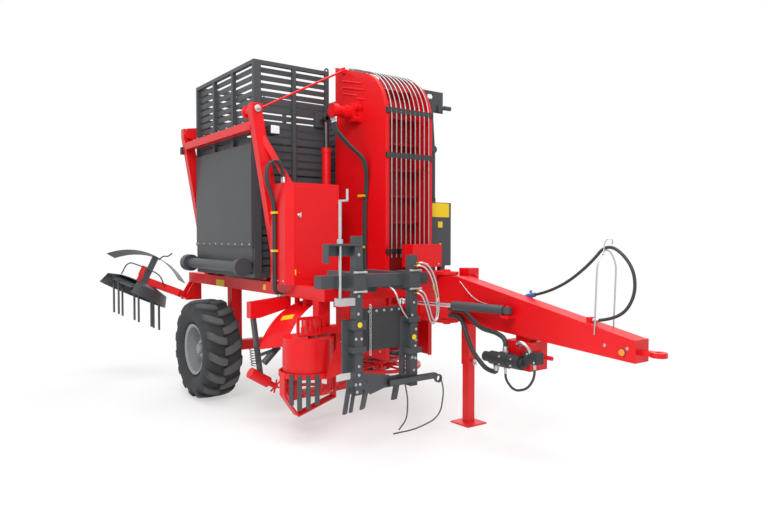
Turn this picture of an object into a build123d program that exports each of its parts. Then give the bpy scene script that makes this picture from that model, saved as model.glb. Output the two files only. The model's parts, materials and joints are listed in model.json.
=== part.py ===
from build123d import *
from math import atan2, cos, degrees, pi, radians, sin, tan
import os

# Trailed single-row sugar beet harvester with a side-tipping bunker, in millimetres.
# X points forward along the drawbar, Y to the left, Z up, with the ground at Z = 0.
# The sizes below are measured from the ground under the middle of the axle. The finished
# pieces are moved together so that the middle of the machine's footprint is the origin.

# Fits and clearances
PIN_GAP = 0.3  # radial, pin in its bore
SEAT_GAP = 0.3  # between curved faces that seat on each other
RUN_GAP = 6  # between bodies that move past each other

# Wheels
TRACK = 2200
TYRE_DIAMETER = 1075
TYRE_WIDTH = 410
TREAD_WIDTH = 340
SHOULDER_DROP = 28
SHOULDER_INSET = 8
BEAD_LIP = 8
LUG_COUNT = 15  # on each half of the tread
LUG_HEIGHT = 30
LUG_WIDTH = 50
LUG_FOOT = 62  # width of a lug at the shoulder
LUG_OVERLAP = 12  # past the middle of the tread
LUG_NOSE = 62  # from the middle of the tread to the lug's bend
LUG_NOSE_RISE = 16
LUG_SWEEP = 108  # along the tread, from the nose to the shoulder
RIM_SEAT_DIAMETER = 508
RIM_FLANGE_DIAMETER = 552
BEAD_WIDTH = 300
RIM_WALL = 12
DISC_THICKNESS = 14
HUB_RADIUS = 95
HUB_LENGTH = 150
SPINDLE_RADIUS = 35
AXLE_Z = TYRE_DIAMETER / 2

# Chassis
BEAM_Y = 780
BEAM_WIDTH = 120
BEAM_DEPTH = 120
BEAM_TOP = 1310
BEAM_REAR_X = -1300
BEAM_FRONT_X = 2050
CROSS_WIDTH = 100
AXLE_BEAM_SIZE = 110
LEG_WIDTH = 120
REST_PAD_SIZE = 90
LUG_THICKNESS = 25

# Bunker
BUNKER_REAR_X = -620
BUNKER_FRONT_X = 950
BUNKER_RIGHT_Y = -980
BUNKER_LEFT_Y = 780
BUNKER_BOTTOM = 1350
BUNKER_TOP = 3520
BUNKER_MOUTH_Z = 2780  # top of the low part of the front wall, under the elevator's mouth
BUNKER_MOUTH_Y = -110  # where the low part of the front wall starts
BUNKER_POST = 40
BUNKER_FLOOR = 30
SLAT_HEIGHT = 52
SLAT_THICKNESS = 8
SLAT_PITCH = 77
SHEET = 6
REAR_SHEET_TOP = 2950
LEFT_SHEET_TOP = 3300
RIGHT_RAIL_Z = 2900
RIGHT_RAIL_HEIGHT = 50
LIFT_EYE_RADIUS = 26
LIFT_EYE_THICKNESS = 12
SIDE_PANEL_TOP = 2700
SIDE_PANEL_BOTTOM = 1660
SIDE_PANEL_THICKNESS = 6
PANEL_FOLD = 32
APRON_BOTTOM = 1500
ROLLER_RADIUS = 58
ROLLER_Z = 1462
ROLLER_DISC_RADIUS = 90
ROLLER_DISC_LENGTH = 75
ROLLER_MOTOR_LENGTH = 120
ROLLER_INSET = 40

# Tipping gear on the right side
TIP_PIVOT_Y = -1060
TIP_PIVOT_Z = 2980
TIP_PIN_RADIUS = 25
TIP_ANGLE = 100
TIP_HEAD = TIP_PIN_RADIUS + 30  # half width of the posts' heads
TIP_ARM_DEPTH = 75
PIN_END = 12
PORTAL_POST_WIDTH = 90
PORTAL_FRONT_GAP = 160  # from the bunker's front wall to the front post
PORTAL_REAR_GAP = 45
PORTAL_FOOT = 150
PORTAL_SHOULDER = 40  # from the pivot down to where the posts start to lean
BRACE_SIZE = 60
BRACE_TOP = 2720
PORTAL_BAR_SIZE = 80
PORTAL_BAR_DROP = 150  # from the pivot down to the bar's middle
STAY_RADIUS = 11
STAY_DROP = 20
STAY_LUG = 60
LAMP_Y = -900
LAMP_Z = 2790
LAMP_SIZE = (100, 85)
LAMP_DEPTH = 45
TIP_CYLINDER_Y = -200
TIP_CYLINDER_OFFSET = 90  # from the bunker's end walls to the cylinders' middle planes
TIP_BASE_Z = 1400
TIP_GLAND_Z = 2690
TIP_ROD_OUT = 310  # from the gland up to the rod's eye when the bunker is down
TIP_EYE_Z = TIP_GLAND_Z + TIP_ROD_OUT
TIP_BARREL_RADIUS = 45
TIP_COLLAR = 6  # how far the gland stands out from the barrel
TIP_ROD_RADIUS = 25
EYE_RADIUS = 40
EYE_WIDTH = 50
EYE_PIN_RADIUS = 20

# Elevator
ELEVATOR_RIGHT_Y = -54
ELEVATOR_LEFT_Y = 530
ELEVATOR_REAR_X = 990
ELEVATOR_FRONT_X = 1890
ELEVATOR_BOTTOM = 560
ELEVATOR_ARCH_Z = 2920  # where the front edge starts to bend back
ELEVATOR_ARCH_RADIUS = 500
ELEVATOR_TOP_SLOPE = 17  # degrees, of the top edge behind the arch
ELEVATOR_FLANGE = 45
ELEVATOR_PLATE = 8
WEB_MIDDLE_X = 1380
WEB_RADIUS = 230
WEB_TOP_GAP = 106  # from the flights up to the housing's top edge, over the upper shaft
WEB_BOTTOM_Z = 860
WEB_THICKNESS = 22
WEB_SIDE_GAP = 25
FLIGHT_HEIGHT = 90
FLIGHT_THICKNESS = 24
FLIGHT_COUNT = 22
GUARD_ROD_RADIUS = 7
GUARD_ROD_COUNT = 9
GUARD_STAND_OFF = 10
GUARD_LOW_Z = 1560
GUARD_REST = 50  # height of the guard's cross bars
GUARD_MIDDLE_Z = 2550
RIB_RADIUS = 9
DRIVE_PLATE = 210
DRIVE_LENGTH = 290
DRIVE_HOSE_RADIUS = 11
TENSION_X = 1500
TENSION_Z = 3345
TENSION_REACH = 480
TENSION_BARREL = 38

# Boxes on the frame
CABINET_X = (1200, 1560)
CABINET_Y = (-930, -375)
CABINET_TOP = 2265
CABINET_CHAMFER = 60
TANK_HOSE_RADIUS = 14
TANK_HOSE_X = 1300
VALVE_BOX_X = (1700, 1790)
VALVE_BOX_Y = (560, 880)
VALVE_BOX_Z = (1460, 2120)
TOOLBOX_X = (1960, 2130)
TOOLBOX_Y = (90, 450)
TOOLBOX_Z = (1470, 1690)

# Drawbar
PIVOT_X = 2360
PIVOT_Y = 310
PIVOT_PIN_RADIUS = 35
PIVOT_SLEEVE_RADIUS = 75
DRAWBAR_WIDTH = 160
DRAWBAR_ROOT_X = 2600
DRAWBAR_ROOT_Z = (1000, 1400)
DRAWBAR_TIP_X = 4340
DRAWBAR_TIP_Z = (890, 1050)
EAR_WIDTH = 220
EAR_THICKNESS = 30
TOWER_REAR_X = 1940
TOWER_FRONT_X = 2100
STEER_ANGLE = 20
HITCH_X = 4490
HITCH_Z = 960
HITCH_RADIUS = 55
HITCH_BORE_RADIUS = 20.5
HITCH_THICKNESS = 34
HITCH_SHANK = 60

# Steering cylinder
STEER_ANCHOR = (2100, -20)  # x and y of the pin on the chassis
STEER_CLEVIS = (3250, 170)  # x and y of the pin on the drawbar
STEER_Z = 1160
STEER_DRIFT = 70  # room behind the rod's eye, which leaves its pin a little while steering
STEER_BARREL_RADIUS = 38
STEER_BARREL_LENGTH = 560
STEER_ROD_RADIUS = 20

# Jack
JACK_X = 2470
JACK_Y = 490
JACK_SLEEVE_SIZE = 96
JACK_LEG_SIZE = 80
JACK_SLEEVE_Z = (560, 1340)
JACK_HEAD_SIZE = 130
JACK_HEAD_HEIGHT = 130
JACK_FOOT_SIZE = 240
JACK_FOOT_THICKNESS = 14
JACK_LIFT = 400

# Drive input under the drawbar
PUMP_X = 3330
PUMP_Z = 800
PUMP_BOX = (260, 210, 230)
PTO_RADIUS = 17.45
PTO_LENGTH = 90
PTO_NECK = 45
HANGER_WIDTH = 90
PUMP_RADIUS = 64
PUMP_REAR_RADIUS = 55
PUMP_AXIS_Z = 760
BUNDLE_RADIUS = 20

# Hose to the tractor and its holder
HOLDER_X = 4040
HOLDER_TOP = 1694
HOLDER_WIRE = 6
LOOP_RADIUS = 12
CLIP_GAP = 1.8  # for the slant of the hose's ends
LOOP_POINTS = (
    (2990, 404, 1225),
    (3300, 404, 1262),
    (3620, 398, 1370),
    (3890, 370, 1550),
    (4090, 310, 1725),
    (4290, 310, 1565),
    (4315, 310, 1345),
    (4180, 310, 1165),
    (3965, 310, 1140),
)

# Topper
TOPPER_X = 2720
TOPPER_RIGHT_Y = -955
TOPPER_LEFT_Y = -406
TOPPER_POST = 70
TOPPER_BEAM_X = 2630
TOPPER_BEAM_Z = 1410
TOPPER_BEAM_SIZE = 100
TOPPER_BEAM_Y = (-1250, -200)
TOPPER_FOOT_Z = 530
TOPPER_RIGHT_TOP = 1765
TOPPER_LEFT_TOP = 1610
CURTAIN_THICKNESS = 12
CURTAIN_Z = (850, 1190)
SPINDLE_OFFSET = 150
SPINDLE_TOP = 2040
SPINDLE_BOTTOM = 1250
SPINDLE_STEM_RADIUS = 12
SPINDLE_CRANK = 100
SPINDLE_CRANK_RADIUS = 9
SPINDLE_HANDLE = 85
FEELER_BAR = 44
FEELER_WIRE = 6
FEELER_COIL = 36

# Lifting unit
CAGE_X = 1900
CAGE_Y = -915
CAGE_RADIUS = 228
CAGE_TOP = 880
CAGE_DRUM_BOTTOM = 545
CAGE_BAR_BOTTOM = 395
CAGE_BAR_RADIUS = 12
CAGE_BARS = 12
CAGE_SHAFT_RADIUS = 25
CAGE_SHAFT_DEPTH = 120
HOOP_RADIUS = 262
HOOP_WALL = 16
HOOP_Z = (545, 590)
KEEL_SHOULDER = 390
KEEL_Z = 200
KEEL_RISE = 315
KEEL_DEPTH = 90
LIFTER_POST = 100
BRIDGE_GAP = 20
BRIDGE_DEPTH = 60
BAR_WIDTH = 40
BAR_THICKNESS = 12
STRUT_X = 1285
STRUT_TOP = 1000
SEAT_LEAN = 2.2  # for the slant of the strut's top
STRUT_WIDTH = 64
MOTOR_RADIUS = 52
STAR_ARM_Z = 290
STAR_ARM_SIZE = 60
TURBINE_X = 1430
TURBINE_Y = 210
TURBINE_RADIUS = 430
TURBINE_Z = 430
TURBINE_SPOKES = 10
HOOD_RADIUS = 612
HOOD_FRONT_X = 1655
HOOD_CENTRE_Y = -425
HOOD_CENTRE_Z = 600
HOOD_LOW_ANGLE = 16  # how far the lower edge stays above level with the arc's middle
HOOD_SLANT = (-315, -110, -60)  # from the front edge to the rear edge
HOOD_THICKNESS = 8

# Leaf cleaner behind the right wheel
CLEANER_HINGE_X = -1220
CLEANER_HINGE_Y = -900
CLEANER_HINGE_Z = 1010
CLEANER_HINGE_SPAN = 160
CLEANER_CHEEK = 20
CLEANER_TILT = 26  # degrees that the parked cleaner is raised from level
CLEANER_OUT = (-450, -490)  # x and y from the hinge to the rotor on the level cleaner
CLEANER_RADIUS = 430
CLEANER_SKIRT = 180
CLEANER_NOTCH = (-100, -20)  # degrees, open side of the hood
CLEANER_HUB_DROP = -110
CLEANER_DISC_RADIUS = 310
CLEANER_STRAPS = 8
STRAP_LENGTH = 430
STRAP_SIZE = (55, 12)
GUARD_TOP = 335
GUARD_EDGE = 150
GUARD_REACH = 545
GUARD_WIDTH = 200
GRIP_RADIUS = 8
GUARD_SLOTS = 5
CLEANER_ARM_SIZE = 90
CLEANER_SWING = (-26, 6)


# Small shape helpers


def span(middle, width):
    """Low and high value of a width about its middle."""
    return (middle - width / 2, middle + width / 2)


def box(x, y, z):
    """Block between the low and high value on each axis."""
    block = Box(x[1] - x[0], y[1] - y[0], z[1] - z[0])
    return Pos(sum(x) / 2, sum(y) / 2, sum(z) / 2) * block


def prism(axis, outline, low, high):
    """Straight prism along an axis. The outline's points leave that axis out."""
    place = {
        "x": lambda a, b: (low, a, b),
        "y": lambda a, b: (a, low, b),
        "z": lambda a, b: (a, b, low),
    }[axis]
    along = {"x": (1, 0, 0), "y": (0, 1, 0), "z": (0, 0, 1)}[axis]
    face = Face(Wire.make_polygon([place(a, b) for a, b in outline], close=True))
    return Solid.extrude(face, Vector(*along) * (high - low))


def rod(start, end, radius):
    """Round bar between two points."""
    start = Vector(*start)
    run = Vector(*end) - start
    plane = Plane(origin=start, z_dir=run)
    return plane * Cylinder(radius, run.length, align=(Align.CENTER, Align.CENTER, Align.MIN))


def bar(start, end, width, depth):
    """Flat or square bar between two points, its width level."""
    start = Vector(*start)
    run = Vector(*end) - start
    level = Vector(0, 0, 1).cross(run)
    if level.length < 1e-6:
        level = Vector(0, 1, 0)
    plane = Plane(origin=start, x_dir=level, z_dir=run)
    return plane * Box(width, depth, run.length, align=(Align.CENTER, Align.CENTER, Align.MIN))


def tube(start, end, outer, inner):
    """Round tube between two points."""
    return rod(start, end, outer) - rod(start, end, inner)


def pipe(points, bend, radius):
    """Hose or bent rod along straight runs with round bends."""
    path = FilletPolyline(*points, radius=bend)
    section = Plane(origin=path @ 0, z_dir=path % 0) * Circle(radius)
    return sweep(section, path=path)


def hose_bends(points):
    """Bend radii for a hose: as large as its straight runs leave room for."""
    points = [Vector(*point) for point in points]
    radii = []
    for before, corner, after in zip(points, points[1:], points[2:]):
        first, second = corner - before, after - corner
        turn = radians(first.get_angle(second))
        radii.append(0.45 * min(first.length, second.length) / tan(turn / 2))
    return radii


def hose(points, radius):
    """Hose or wire along a run of points, with bends as large as their runs allow."""
    path = FilletPolyline(*points, radius=hose_bends(points))
    section = Plane(origin=path @ 0, z_dir=path % 0) * Circle(radius)
    return sweep(section, path=path)


def join(pieces):
    """One solid from pieces that touch or overlap."""
    first, *rest = pieces
    return first.fuse(*rest).clean() if rest else first


def around(count, start=0):
    """Evenly spaced angles round a circle, in radians."""
    return [start + 2 * pi * step / count for step in range(count)]


# Wheels


def make_carcass():
    """Tyre's body about its own axle, with flat faces between the lugs, bored for the rim."""
    crown = TYRE_DIAMETER / 2 - LUG_HEIGHT
    # Right half of the section: place across, radius
    half = [
        (BEAD_WIDTH / 2, RIM_FLANGE_DIAMETER / 2 + BEAD_LIP),
        (TYRE_WIDTH / 2, (RIM_FLANGE_DIAMETER + TYRE_DIAMETER) / 4),
        (TYRE_WIDTH / 2 - 2 * SHOULDER_INSET, crown - SHOULDER_DROP),
        (TREAD_WIDTH / 2 - LUG_HEIGHT, crown),
    ]
    rings = []
    for across, radius in [(-a, b) for a, b in half] + half[::-1]:
        corners = [(radius * cos(angle), across, radius * sin(angle)) for angle in around(2 * LUG_COUNT)]
        rings.append(Wire.make_polygon(corners, close=True))
    bore = rod((0, -TYRE_WIDTH, 0), (0, TYRE_WIDTH, 0), RIM_SEAT_DIAMETER / 2 + SEAT_GAP)
    return Solid.make_loft(rings, True) - bore


def make_lug(half):
    """One lug on the given half: a block at its nose and a longer one that runs over the shoulder."""
    crown = TYRE_DIAMETER / 2
    wall = TYRE_WIDTH / 2
    deep = crown - 3 * LUG_HEIGHT
    turns = (LUG_WIDTH + LUG_NOSE_RISE) / 2, (LUG_NOSE_RISE + LUG_SWEEP + LUG_FOOT) / 2
    # Plan of each block: place across and along at its near end, then at its far end, and its width there
    nose = (-LUG_OVERLAP, 0, LUG_WIDTH), (LUG_NOSE, LUG_NOSE_RISE, LUG_WIDTH)
    outer = (LUG_NOSE - 1, LUG_NOSE_RISE, LUG_WIDTH), (wall, LUG_SWEEP, LUG_FOOT)
    blocks = []
    for (near, far), turn in zip((nose, outer), turns):
        plan = [(near[0], near[1]), (far[0], far[1]), (far[0], far[1] + far[2]), (near[0], near[1] + near[2])]
        plan = [(half * across, along - turn) for across, along in plan]
        reach = max(turn - near[1], near[1] + near[2] - turn)
        top = (crown**2 - reach**2) ** 0.5
        section = [(near[0], deep), (near[0], top), (min(TREAD_WIDTH / 2, far[0]), top)]
        if far[0] == wall:
            section.append((wall - SHOULDER_INSET, top - SHOULDER_DROP))
        section.append((far[0], deep))
        upright = prism("x", plan, deep - LUG_HEIGHT, crown)
        outline = prism("z", [(radius, half * across) for across, radius in section], -wall, wall)
        blocks.append(Rot(0, -degrees(turn / crown), 0) * (upright & outline))
    return join(blocks)


def make_tyre(side):
    """Tyre with staggered lugs that run from the middle of the tread over the shoulders."""
    pieces = [make_carcass()]
    for half in (-1, 1):
        lug = make_lug(half)
        start = 0 if half > 0 else pi / LUG_COUNT
        pieces += [Rot(0, -degrees(angle), 0) * lug for angle in around(LUG_COUNT, start)]
    return Pos(0, side * TRACK / 2, AXLE_Z) * join(pieces)


def make_rim(side):
    """Dished rim with its two flanges and the hub that turns on the spindle."""
    bead = BEAD_WIDTH / 2
    seat = RIM_SEAT_DIAMETER / 2
    flange = RIM_FLANGE_DIAMETER / 2
    dish = [
        (HUB_LENGTH / 2, SPINDLE_RADIUS + PIN_GAP),
        (HUB_LENGTH / 2, HUB_RADIUS),
        (HUB_LENGTH / 2 - 20, HUB_RADIUS + 25),
        (10, seat - RIM_WALL),
        (bead + SEAT_GAP, seat - RIM_WALL),
        (bead + RIM_WALL, flange - RIM_WALL),
        (bead + RIM_WALL, flange),
        (bead + SEAT_GAP, flange),
        (bead + SEAT_GAP, seat),
        (-bead - SEAT_GAP, seat),
        (-bead - SEAT_GAP, flange),
        (-bead - RIM_WALL, flange),
        (-bead - RIM_WALL, flange - RIM_WALL),
        (-bead - SEAT_GAP, seat - RIM_WALL),
        (10 - DISC_THICKNESS, seat - RIM_WALL),
        (HUB_LENGTH / 2 - 20 - DISC_THICKNESS, HUB_RADIUS),
        (-HUB_LENGTH / 2, HUB_RADIUS),
        (-HUB_LENGTH / 2, SPINDLE_RADIUS + PIN_GAP),
    ]
    face = Face(Wire.make_polygon([(0, side * a, b) for a, b in dish], close=True))
    ring = revolve(face, Axis.Y, 360)
    return Pos(0, side * TRACK / 2, AXLE_Z) * ring


def make_axle():
    """Straight axle beam with a spindle at each end."""
    end = BEAM_Y + BEAM_WIDTH / 2
    hub_inner = TRACK / 2 - HUB_LENGTH / 2
    hub_outer = TRACK / 2 + HUB_LENGTH / 2
    pieces = [box(span(0, AXLE_BEAM_SIZE), (-end, end), span(AXLE_Z, AXLE_BEAM_SIZE))]
    for side in (-1, 1):
        pieces.append(rod((0, side * end, AXLE_Z), (0, side * (hub_inner - 1), AXLE_Z), SPINDLE_RADIUS + 15))
        pieces.append(rod((0, side * end, AXLE_Z), (0, side * (hub_outer + 30), AXLE_Z), SPINDLE_RADIUS))
        pieces.append(
            rod((0, side * (hub_outer + 1), AXLE_Z), (0, side * (hub_outer + 26), AXLE_Z), SPINDLE_RADIUS + 12)
        )
    return join(pieces)


# Chassis


def tip_planes():
    """Middle planes of the two tipping cylinders, with the sign that points away from the bunker."""
    return (
        (BUNKER_FRONT_X + TIP_CYLINDER_OFFSET, 1),
        (BUNKER_REAR_X - TIP_CYLINDER_OFFSET, -1),
    )


def make_chassis():
    """Two long beams, cross members, axle legs, pivot tower and the cylinders' lugs."""
    low = BEAM_TOP - BEAM_DEPTH
    beam_z = (low, BEAM_TOP)
    inner = BEAM_Y - BEAM_WIDTH / 2
    pieces = []
    for side in (-1, 1):
        pieces.append(box((BEAM_REAR_X, BEAM_FRONT_X), span(side * BEAM_Y, BEAM_WIDTH), beam_z))
        leg_z = (AXLE_Z + AXLE_BEAM_SIZE / 2, low + 1)
        pieces.append(box(span(0, LEG_WIDTH), span(side * BEAM_Y, BEAM_WIDTH), leg_z))
        for pad_x in (BUNKER_REAR_X + REST_PAD_SIZE, BUNKER_FRONT_X - 2 * REST_PAD_SIZE):
            pad_z = (BEAM_TOP - 1, BUNKER_BOTTOM - RUN_GAP)
            pieces.append(box(span(pad_x, REST_PAD_SIZE), span(side * (BEAM_Y - 40), REST_PAD_SIZE), pad_z))
    lug_z = (low, TIP_BASE_Z + EYE_PIN_RADIUS + 25)
    for plane_x, away in tip_planes():
        plate_far = plane_x - away * (TIP_BARREL_RADIUS + TIP_COLLAR + RUN_GAP)
        plate_near = plate_far - away * LUG_THICKNESS
        cross_far = plate_far - away * 5
        cross_near = cross_far - away * CROSS_WIDTH
        pieces.append(box(sorted((cross_near, cross_far)), (-inner, inner), beam_z))
        pieces.append(box(sorted((plate_near, plate_far)), span(TIP_CYLINDER_Y, 120), lug_z))
        pin_end = plane_x + away * (EYE_WIDTH / 2 + 14)
        pieces.append(
            rod((plate_near, TIP_CYLINDER_Y, TIP_BASE_Z), (pin_end, TIP_CYLINDER_Y, TIP_BASE_Z), EYE_PIN_RADIUS)
        )
    rear_x = BEAM_REAR_X + CROSS_WIDTH
    pieces.append(box((BEAM_REAR_X, rear_x), (-inner, inner), beam_z))
    front_x = BEAM_FRONT_X - CROSS_WIDTH
    pieces.append(box((front_x, BEAM_FRONT_X), (-inner, inner), beam_z))
    front_plane, _ = tip_planes()[0]
    cross_front = front_plane - TIP_BARREL_RADIUS - TIP_COLLAR - RUN_GAP - 5
    for bracket_x in ((cross_front - 1, ELEVATOR_REAR_X), (ELEVATOR_FRONT_X, front_x + 1)):
        for low_y in (ELEVATOR_RIGHT_Y, ELEVATOR_LEFT_Y - ELEVATOR_FLANGE):
            pieces.append(box(bracket_x, (low_y, low_y + ELEVATOR_FLANGE), beam_z))
    pieces += pivot_tower()
    return join(pieces)


def ear_heights():
    """Low and high faces of the two ears that hold the drawbar's pin."""
    bottom = DRAWBAR_ROOT_Z[0] - RUN_GAP
    top = DRAWBAR_ROOT_Z[1] + RUN_GAP
    return (bottom - EAR_THICKNESS, bottom), (top, top + EAR_THICKNESS)


def pivot_tower():
    """Box at the front with two ears and the pin for the drawbar, and the steering anchor."""
    lower, upper = ear_heights()
    wide = span(PIVOT_Y, EAR_WIDTH)
    pieces = [box((TOWER_REAR_X, TOWER_FRONT_X), wide, (lower[0], upper[1]))]
    for ear in (lower, upper):
        pieces.append(box((TOWER_FRONT_X - 20, PIVOT_X), wide, ear))
        pieces.append(rod((PIVOT_X, PIVOT_Y, ear[0]), (PIVOT_X, PIVOT_Y, ear[1]), EAR_WIDTH / 2))
    pin = ((PIVOT_X, PIVOT_Y, lower[0] - 20), (PIVOT_X, PIVOT_Y, upper[1] + 20))
    pieces.append(rod(*pin, PIVOT_PIN_RADIUS))
    anchor_x, anchor_y = STEER_ANCHOR
    plate = span(anchor_y, 2 * EYE_RADIUS)
    level = STEER_Z - EYE_WIDTH / 2 - 10 - LUG_THICKNESS
    lug_x = (BEAM_FRONT_X - CROSS_WIDTH, anchor_x + EYE_RADIUS)
    pieces.append(box(lug_x, plate, (level, level + LUG_THICKNESS)))
    web_z = (level, BEAM_TOP - BEAM_DEPTH + 1)
    pieces.append(box((lug_x[0], anchor_x - EYE_RADIUS - STEER_DRIFT), plate, web_z))
    return pieces


def post_planes():
    """Low and high X of the front and rear portal posts."""
    front = BUNKER_FRONT_X + PORTAL_FRONT_GAP
    rear = BUNKER_REAR_X - PORTAL_REAR_GAP
    return (front, front + PORTAL_POST_WIDTH), (rear - PORTAL_POST_WIDTH, rear)


def post_inner_y(z):
    """Y of a portal post's inner face at a height."""
    foot = -BEAM_Y - BEAM_WIDTH / 2 + PORTAL_FOOT
    head = TIP_PIVOT_Y + TIP_HEAD
    share = (z - BEAM_TOP) / (TIP_PIVOT_Z - PORTAL_SHOULDER - BEAM_TOP)
    return foot + share * (head - foot)


def make_portal():
    """Two leaning posts with the bunker's pivot bores, the bar between them and the stays."""
    outer_foot = -BEAM_Y - BEAM_WIDTH / 2
    outline = [
        (outer_foot, BEAM_TOP),
        (outer_foot + PORTAL_FOOT, BEAM_TOP),
        (TIP_PIVOT_Y + TIP_HEAD, TIP_PIVOT_Z - PORTAL_SHOULDER),
        (TIP_PIVOT_Y + TIP_HEAD, TIP_PIVOT_Z + TIP_HEAD),
        (TIP_PIVOT_Y - TIP_HEAD, TIP_PIVOT_Z + TIP_HEAD),
        (TIP_PIVOT_Y - TIP_HEAD, TIP_PIVOT_Z - PORTAL_SHOULDER),
    ]
    front, rear = post_planes()
    pieces = []
    for low, high in (front, rear):
        bore = rod((low, TIP_PIVOT_Y, TIP_PIVOT_Z), (high, TIP_PIVOT_Y, TIP_PIVOT_Z), TIP_PIN_RADIUS + PIN_GAP)
        pieces.append(prism("x", outline, low, high) - bore)
    bar_z = span(TIP_PIVOT_Z - PORTAL_BAR_DROP, PORTAL_BAR_SIZE)
    pieces.append(box((rear[1] - 5, front[0] + 5), span(TIP_PIVOT_Y, PORTAL_BAR_SIZE), bar_z))
    brace_top = (front[1] - BRACE_SIZE / 2, post_inner_y(BRACE_TOP) - BRACE_SIZE / 2, BRACE_TOP)
    brace_foot = (CABINET_X[0] + 100, CABINET_Y[0] + 190, CABINET_TOP - 40)
    below_y = (CABINET_Y[0] - 100, CABINET_Y[1])
    below = box((CABINET_X[0] - 100, CABINET_X[1]), below_y, (CABINET_TOP - 200, CABINET_TOP))
    pieces.append(bar(brace_top, brace_foot, BRACE_SIZE, BRACE_SIZE) - below)
    stay_x = sum(front) / 2
    stay_top = (stay_x, ELEVATOR_RIGHT_Y - STAY_RADIUS, top_height(stay_x) - STAY_DROP)
    stay_foot = (stay_x, TIP_PIVOT_Y + TIP_HEAD - STAY_RADIUS, TIP_PIVOT_Z + STAY_RADIUS)
    pieces.append(rod(stay_foot, stay_top, STAY_RADIUS))
    stay_lug = (ELEVATOR_RIGHT_Y - 2 * STAY_RADIUS, ELEVATOR_RIGHT_Y)
    pieces.append(box(span(stay_x, STAY_LUG), stay_lug, span(stay_top[2], STAY_LUG)))
    return join(pieces)


# Bunker


def slat_levels(low, high):
    """Middle heights of the slats between two rails."""
    count = int((high - low) // SLAT_PITCH)
    return [low + SLAT_PITCH * (step + 0.5) for step in range(count)]


def slatted_wall(axis, ends, face, low, high, bays, sheet_top=0):
    """Posts, rails and slats in one plane, with a sheet behind the slats. Axis is the way the wall runs."""
    pieces = []

    def piece(along, across, z):
        return box(along, across, z) if axis == "x" else box(across, along, z)

    thick = sorted((face[0], face[1]))
    pieces.append(piece(ends, thick, (low, low + BUNKER_POST)))
    pieces.append(piece(ends, thick, (high - BUNKER_POST, high)))
    step = (ends[1] - ends[0] - BUNKER_POST) / bays
    for bay in range(bays + 1):
        start = ends[0] + bay * step
        pieces.append(piece((start, start + BUNKER_POST), thick, (low, high)))
    inward = 1 if face[1] > face[0] else -1
    slat = sorted((face[1] - inward * SLAT_THICKNESS, face[1]))
    for level in slat_levels(low + BUNKER_POST, high - BUNKER_POST):
        pieces.append(piece(ends, slat, span(level, SLAT_HEIGHT)))
    if sheet_top:
        sheet = sorted((face[1] - inward * (SLAT_THICKNESS + SHEET), face[1] - inward * SLAT_THICKNESS))
        pieces.append(piece(ends, sheet, (low, sheet_top)))
    return join(pieces)


def make_bunker_walls():
    """Right, left, front and rear walls. Each face pair runs from outside to inside."""
    post = BUNKER_POST
    ends_x = (BUNKER_REAR_X, BUNKER_FRONT_X)
    right = (BUNKER_RIGHT_Y, BUNKER_RIGHT_Y + post)
    left = (BUNKER_LEFT_Y, BUNKER_LEFT_Y - post)
    front = (BUNKER_FRONT_X, BUNKER_FRONT_X - post)
    rear = (BUNKER_REAR_X, BUNKER_REAR_X + post)
    between = (BUNKER_RIGHT_Y + post, BUNKER_LEFT_Y - post)
    high_part = (between[0], BUNKER_MOUTH_Y)
    low_part = (BUNKER_MOUTH_Y - post, between[1])
    floor = BUNKER_BOTTOM
    right_wall = slatted_wall("x", ends_x, right, floor, BUNKER_TOP, 3)
    right_rail = box(ends_x, sorted(right), span(RIGHT_RAIL_Z, RIGHT_RAIL_HEIGHT))
    rear_wall = slatted_wall("y", between, rear, floor, BUNKER_TOP, 3, REAR_SHEET_TOP)
    tall = slatted_wall("y", high_part, front, floor, BUNKER_TOP, 2)
    short = slatted_wall("y", low_part, front, floor, BUNKER_MOUTH_Z, 2)
    return {
        "bunker_wall_right": join([right_wall, right_rail]),
        "bunker_wall_left": slatted_wall("x", ends_x, left, floor, BUNKER_TOP, 3, LEFT_SHEET_TOP),
        "bunker_wall_front": join([tall, short, *eye_boss(0), lifting_eye(BUNKER_FRONT_X, -1)]),
        "bunker_wall_rear": join([rear_wall, *eye_boss(1), lifting_eye(BUNKER_REAR_X, 1)]),
    }


def eye_boss(which):
    """Boss and carrying plate on an end wall that face the tipping cylinder's rod eye."""
    plane_x, away = tip_planes()[which]
    wall = plane_x - away * TIP_CYLINDER_OFFSET
    tip = plane_x - away * (EYE_WIDTH / 2 + RUN_GAP)
    inside = wall - away * BUNKER_POST
    plate = box(sorted((wall, inside)), (BUNKER_MOUTH_Y - 2 * BUNKER_POST - 90, BUNKER_MOUTH_Y), span(TIP_EYE_Z, 160))
    return [plate, rod((wall, TIP_CYLINDER_Y, TIP_EYE_Z), (tip, TIP_CYLINDER_Y, TIP_EYE_Z), EYE_PIN_RADIUS + 10)]


def make_bunker_floor():
    """Floor between the walls."""
    post = BUNKER_POST
    x = (BUNKER_REAR_X + post, BUNKER_FRONT_X - post)
    y = (BUNKER_RIGHT_Y + post, BUNKER_LEFT_Y - post)
    return box(x, y, (BUNKER_BOTTOM, BUNKER_BOTTOM + BUNKER_FLOOR))


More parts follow.
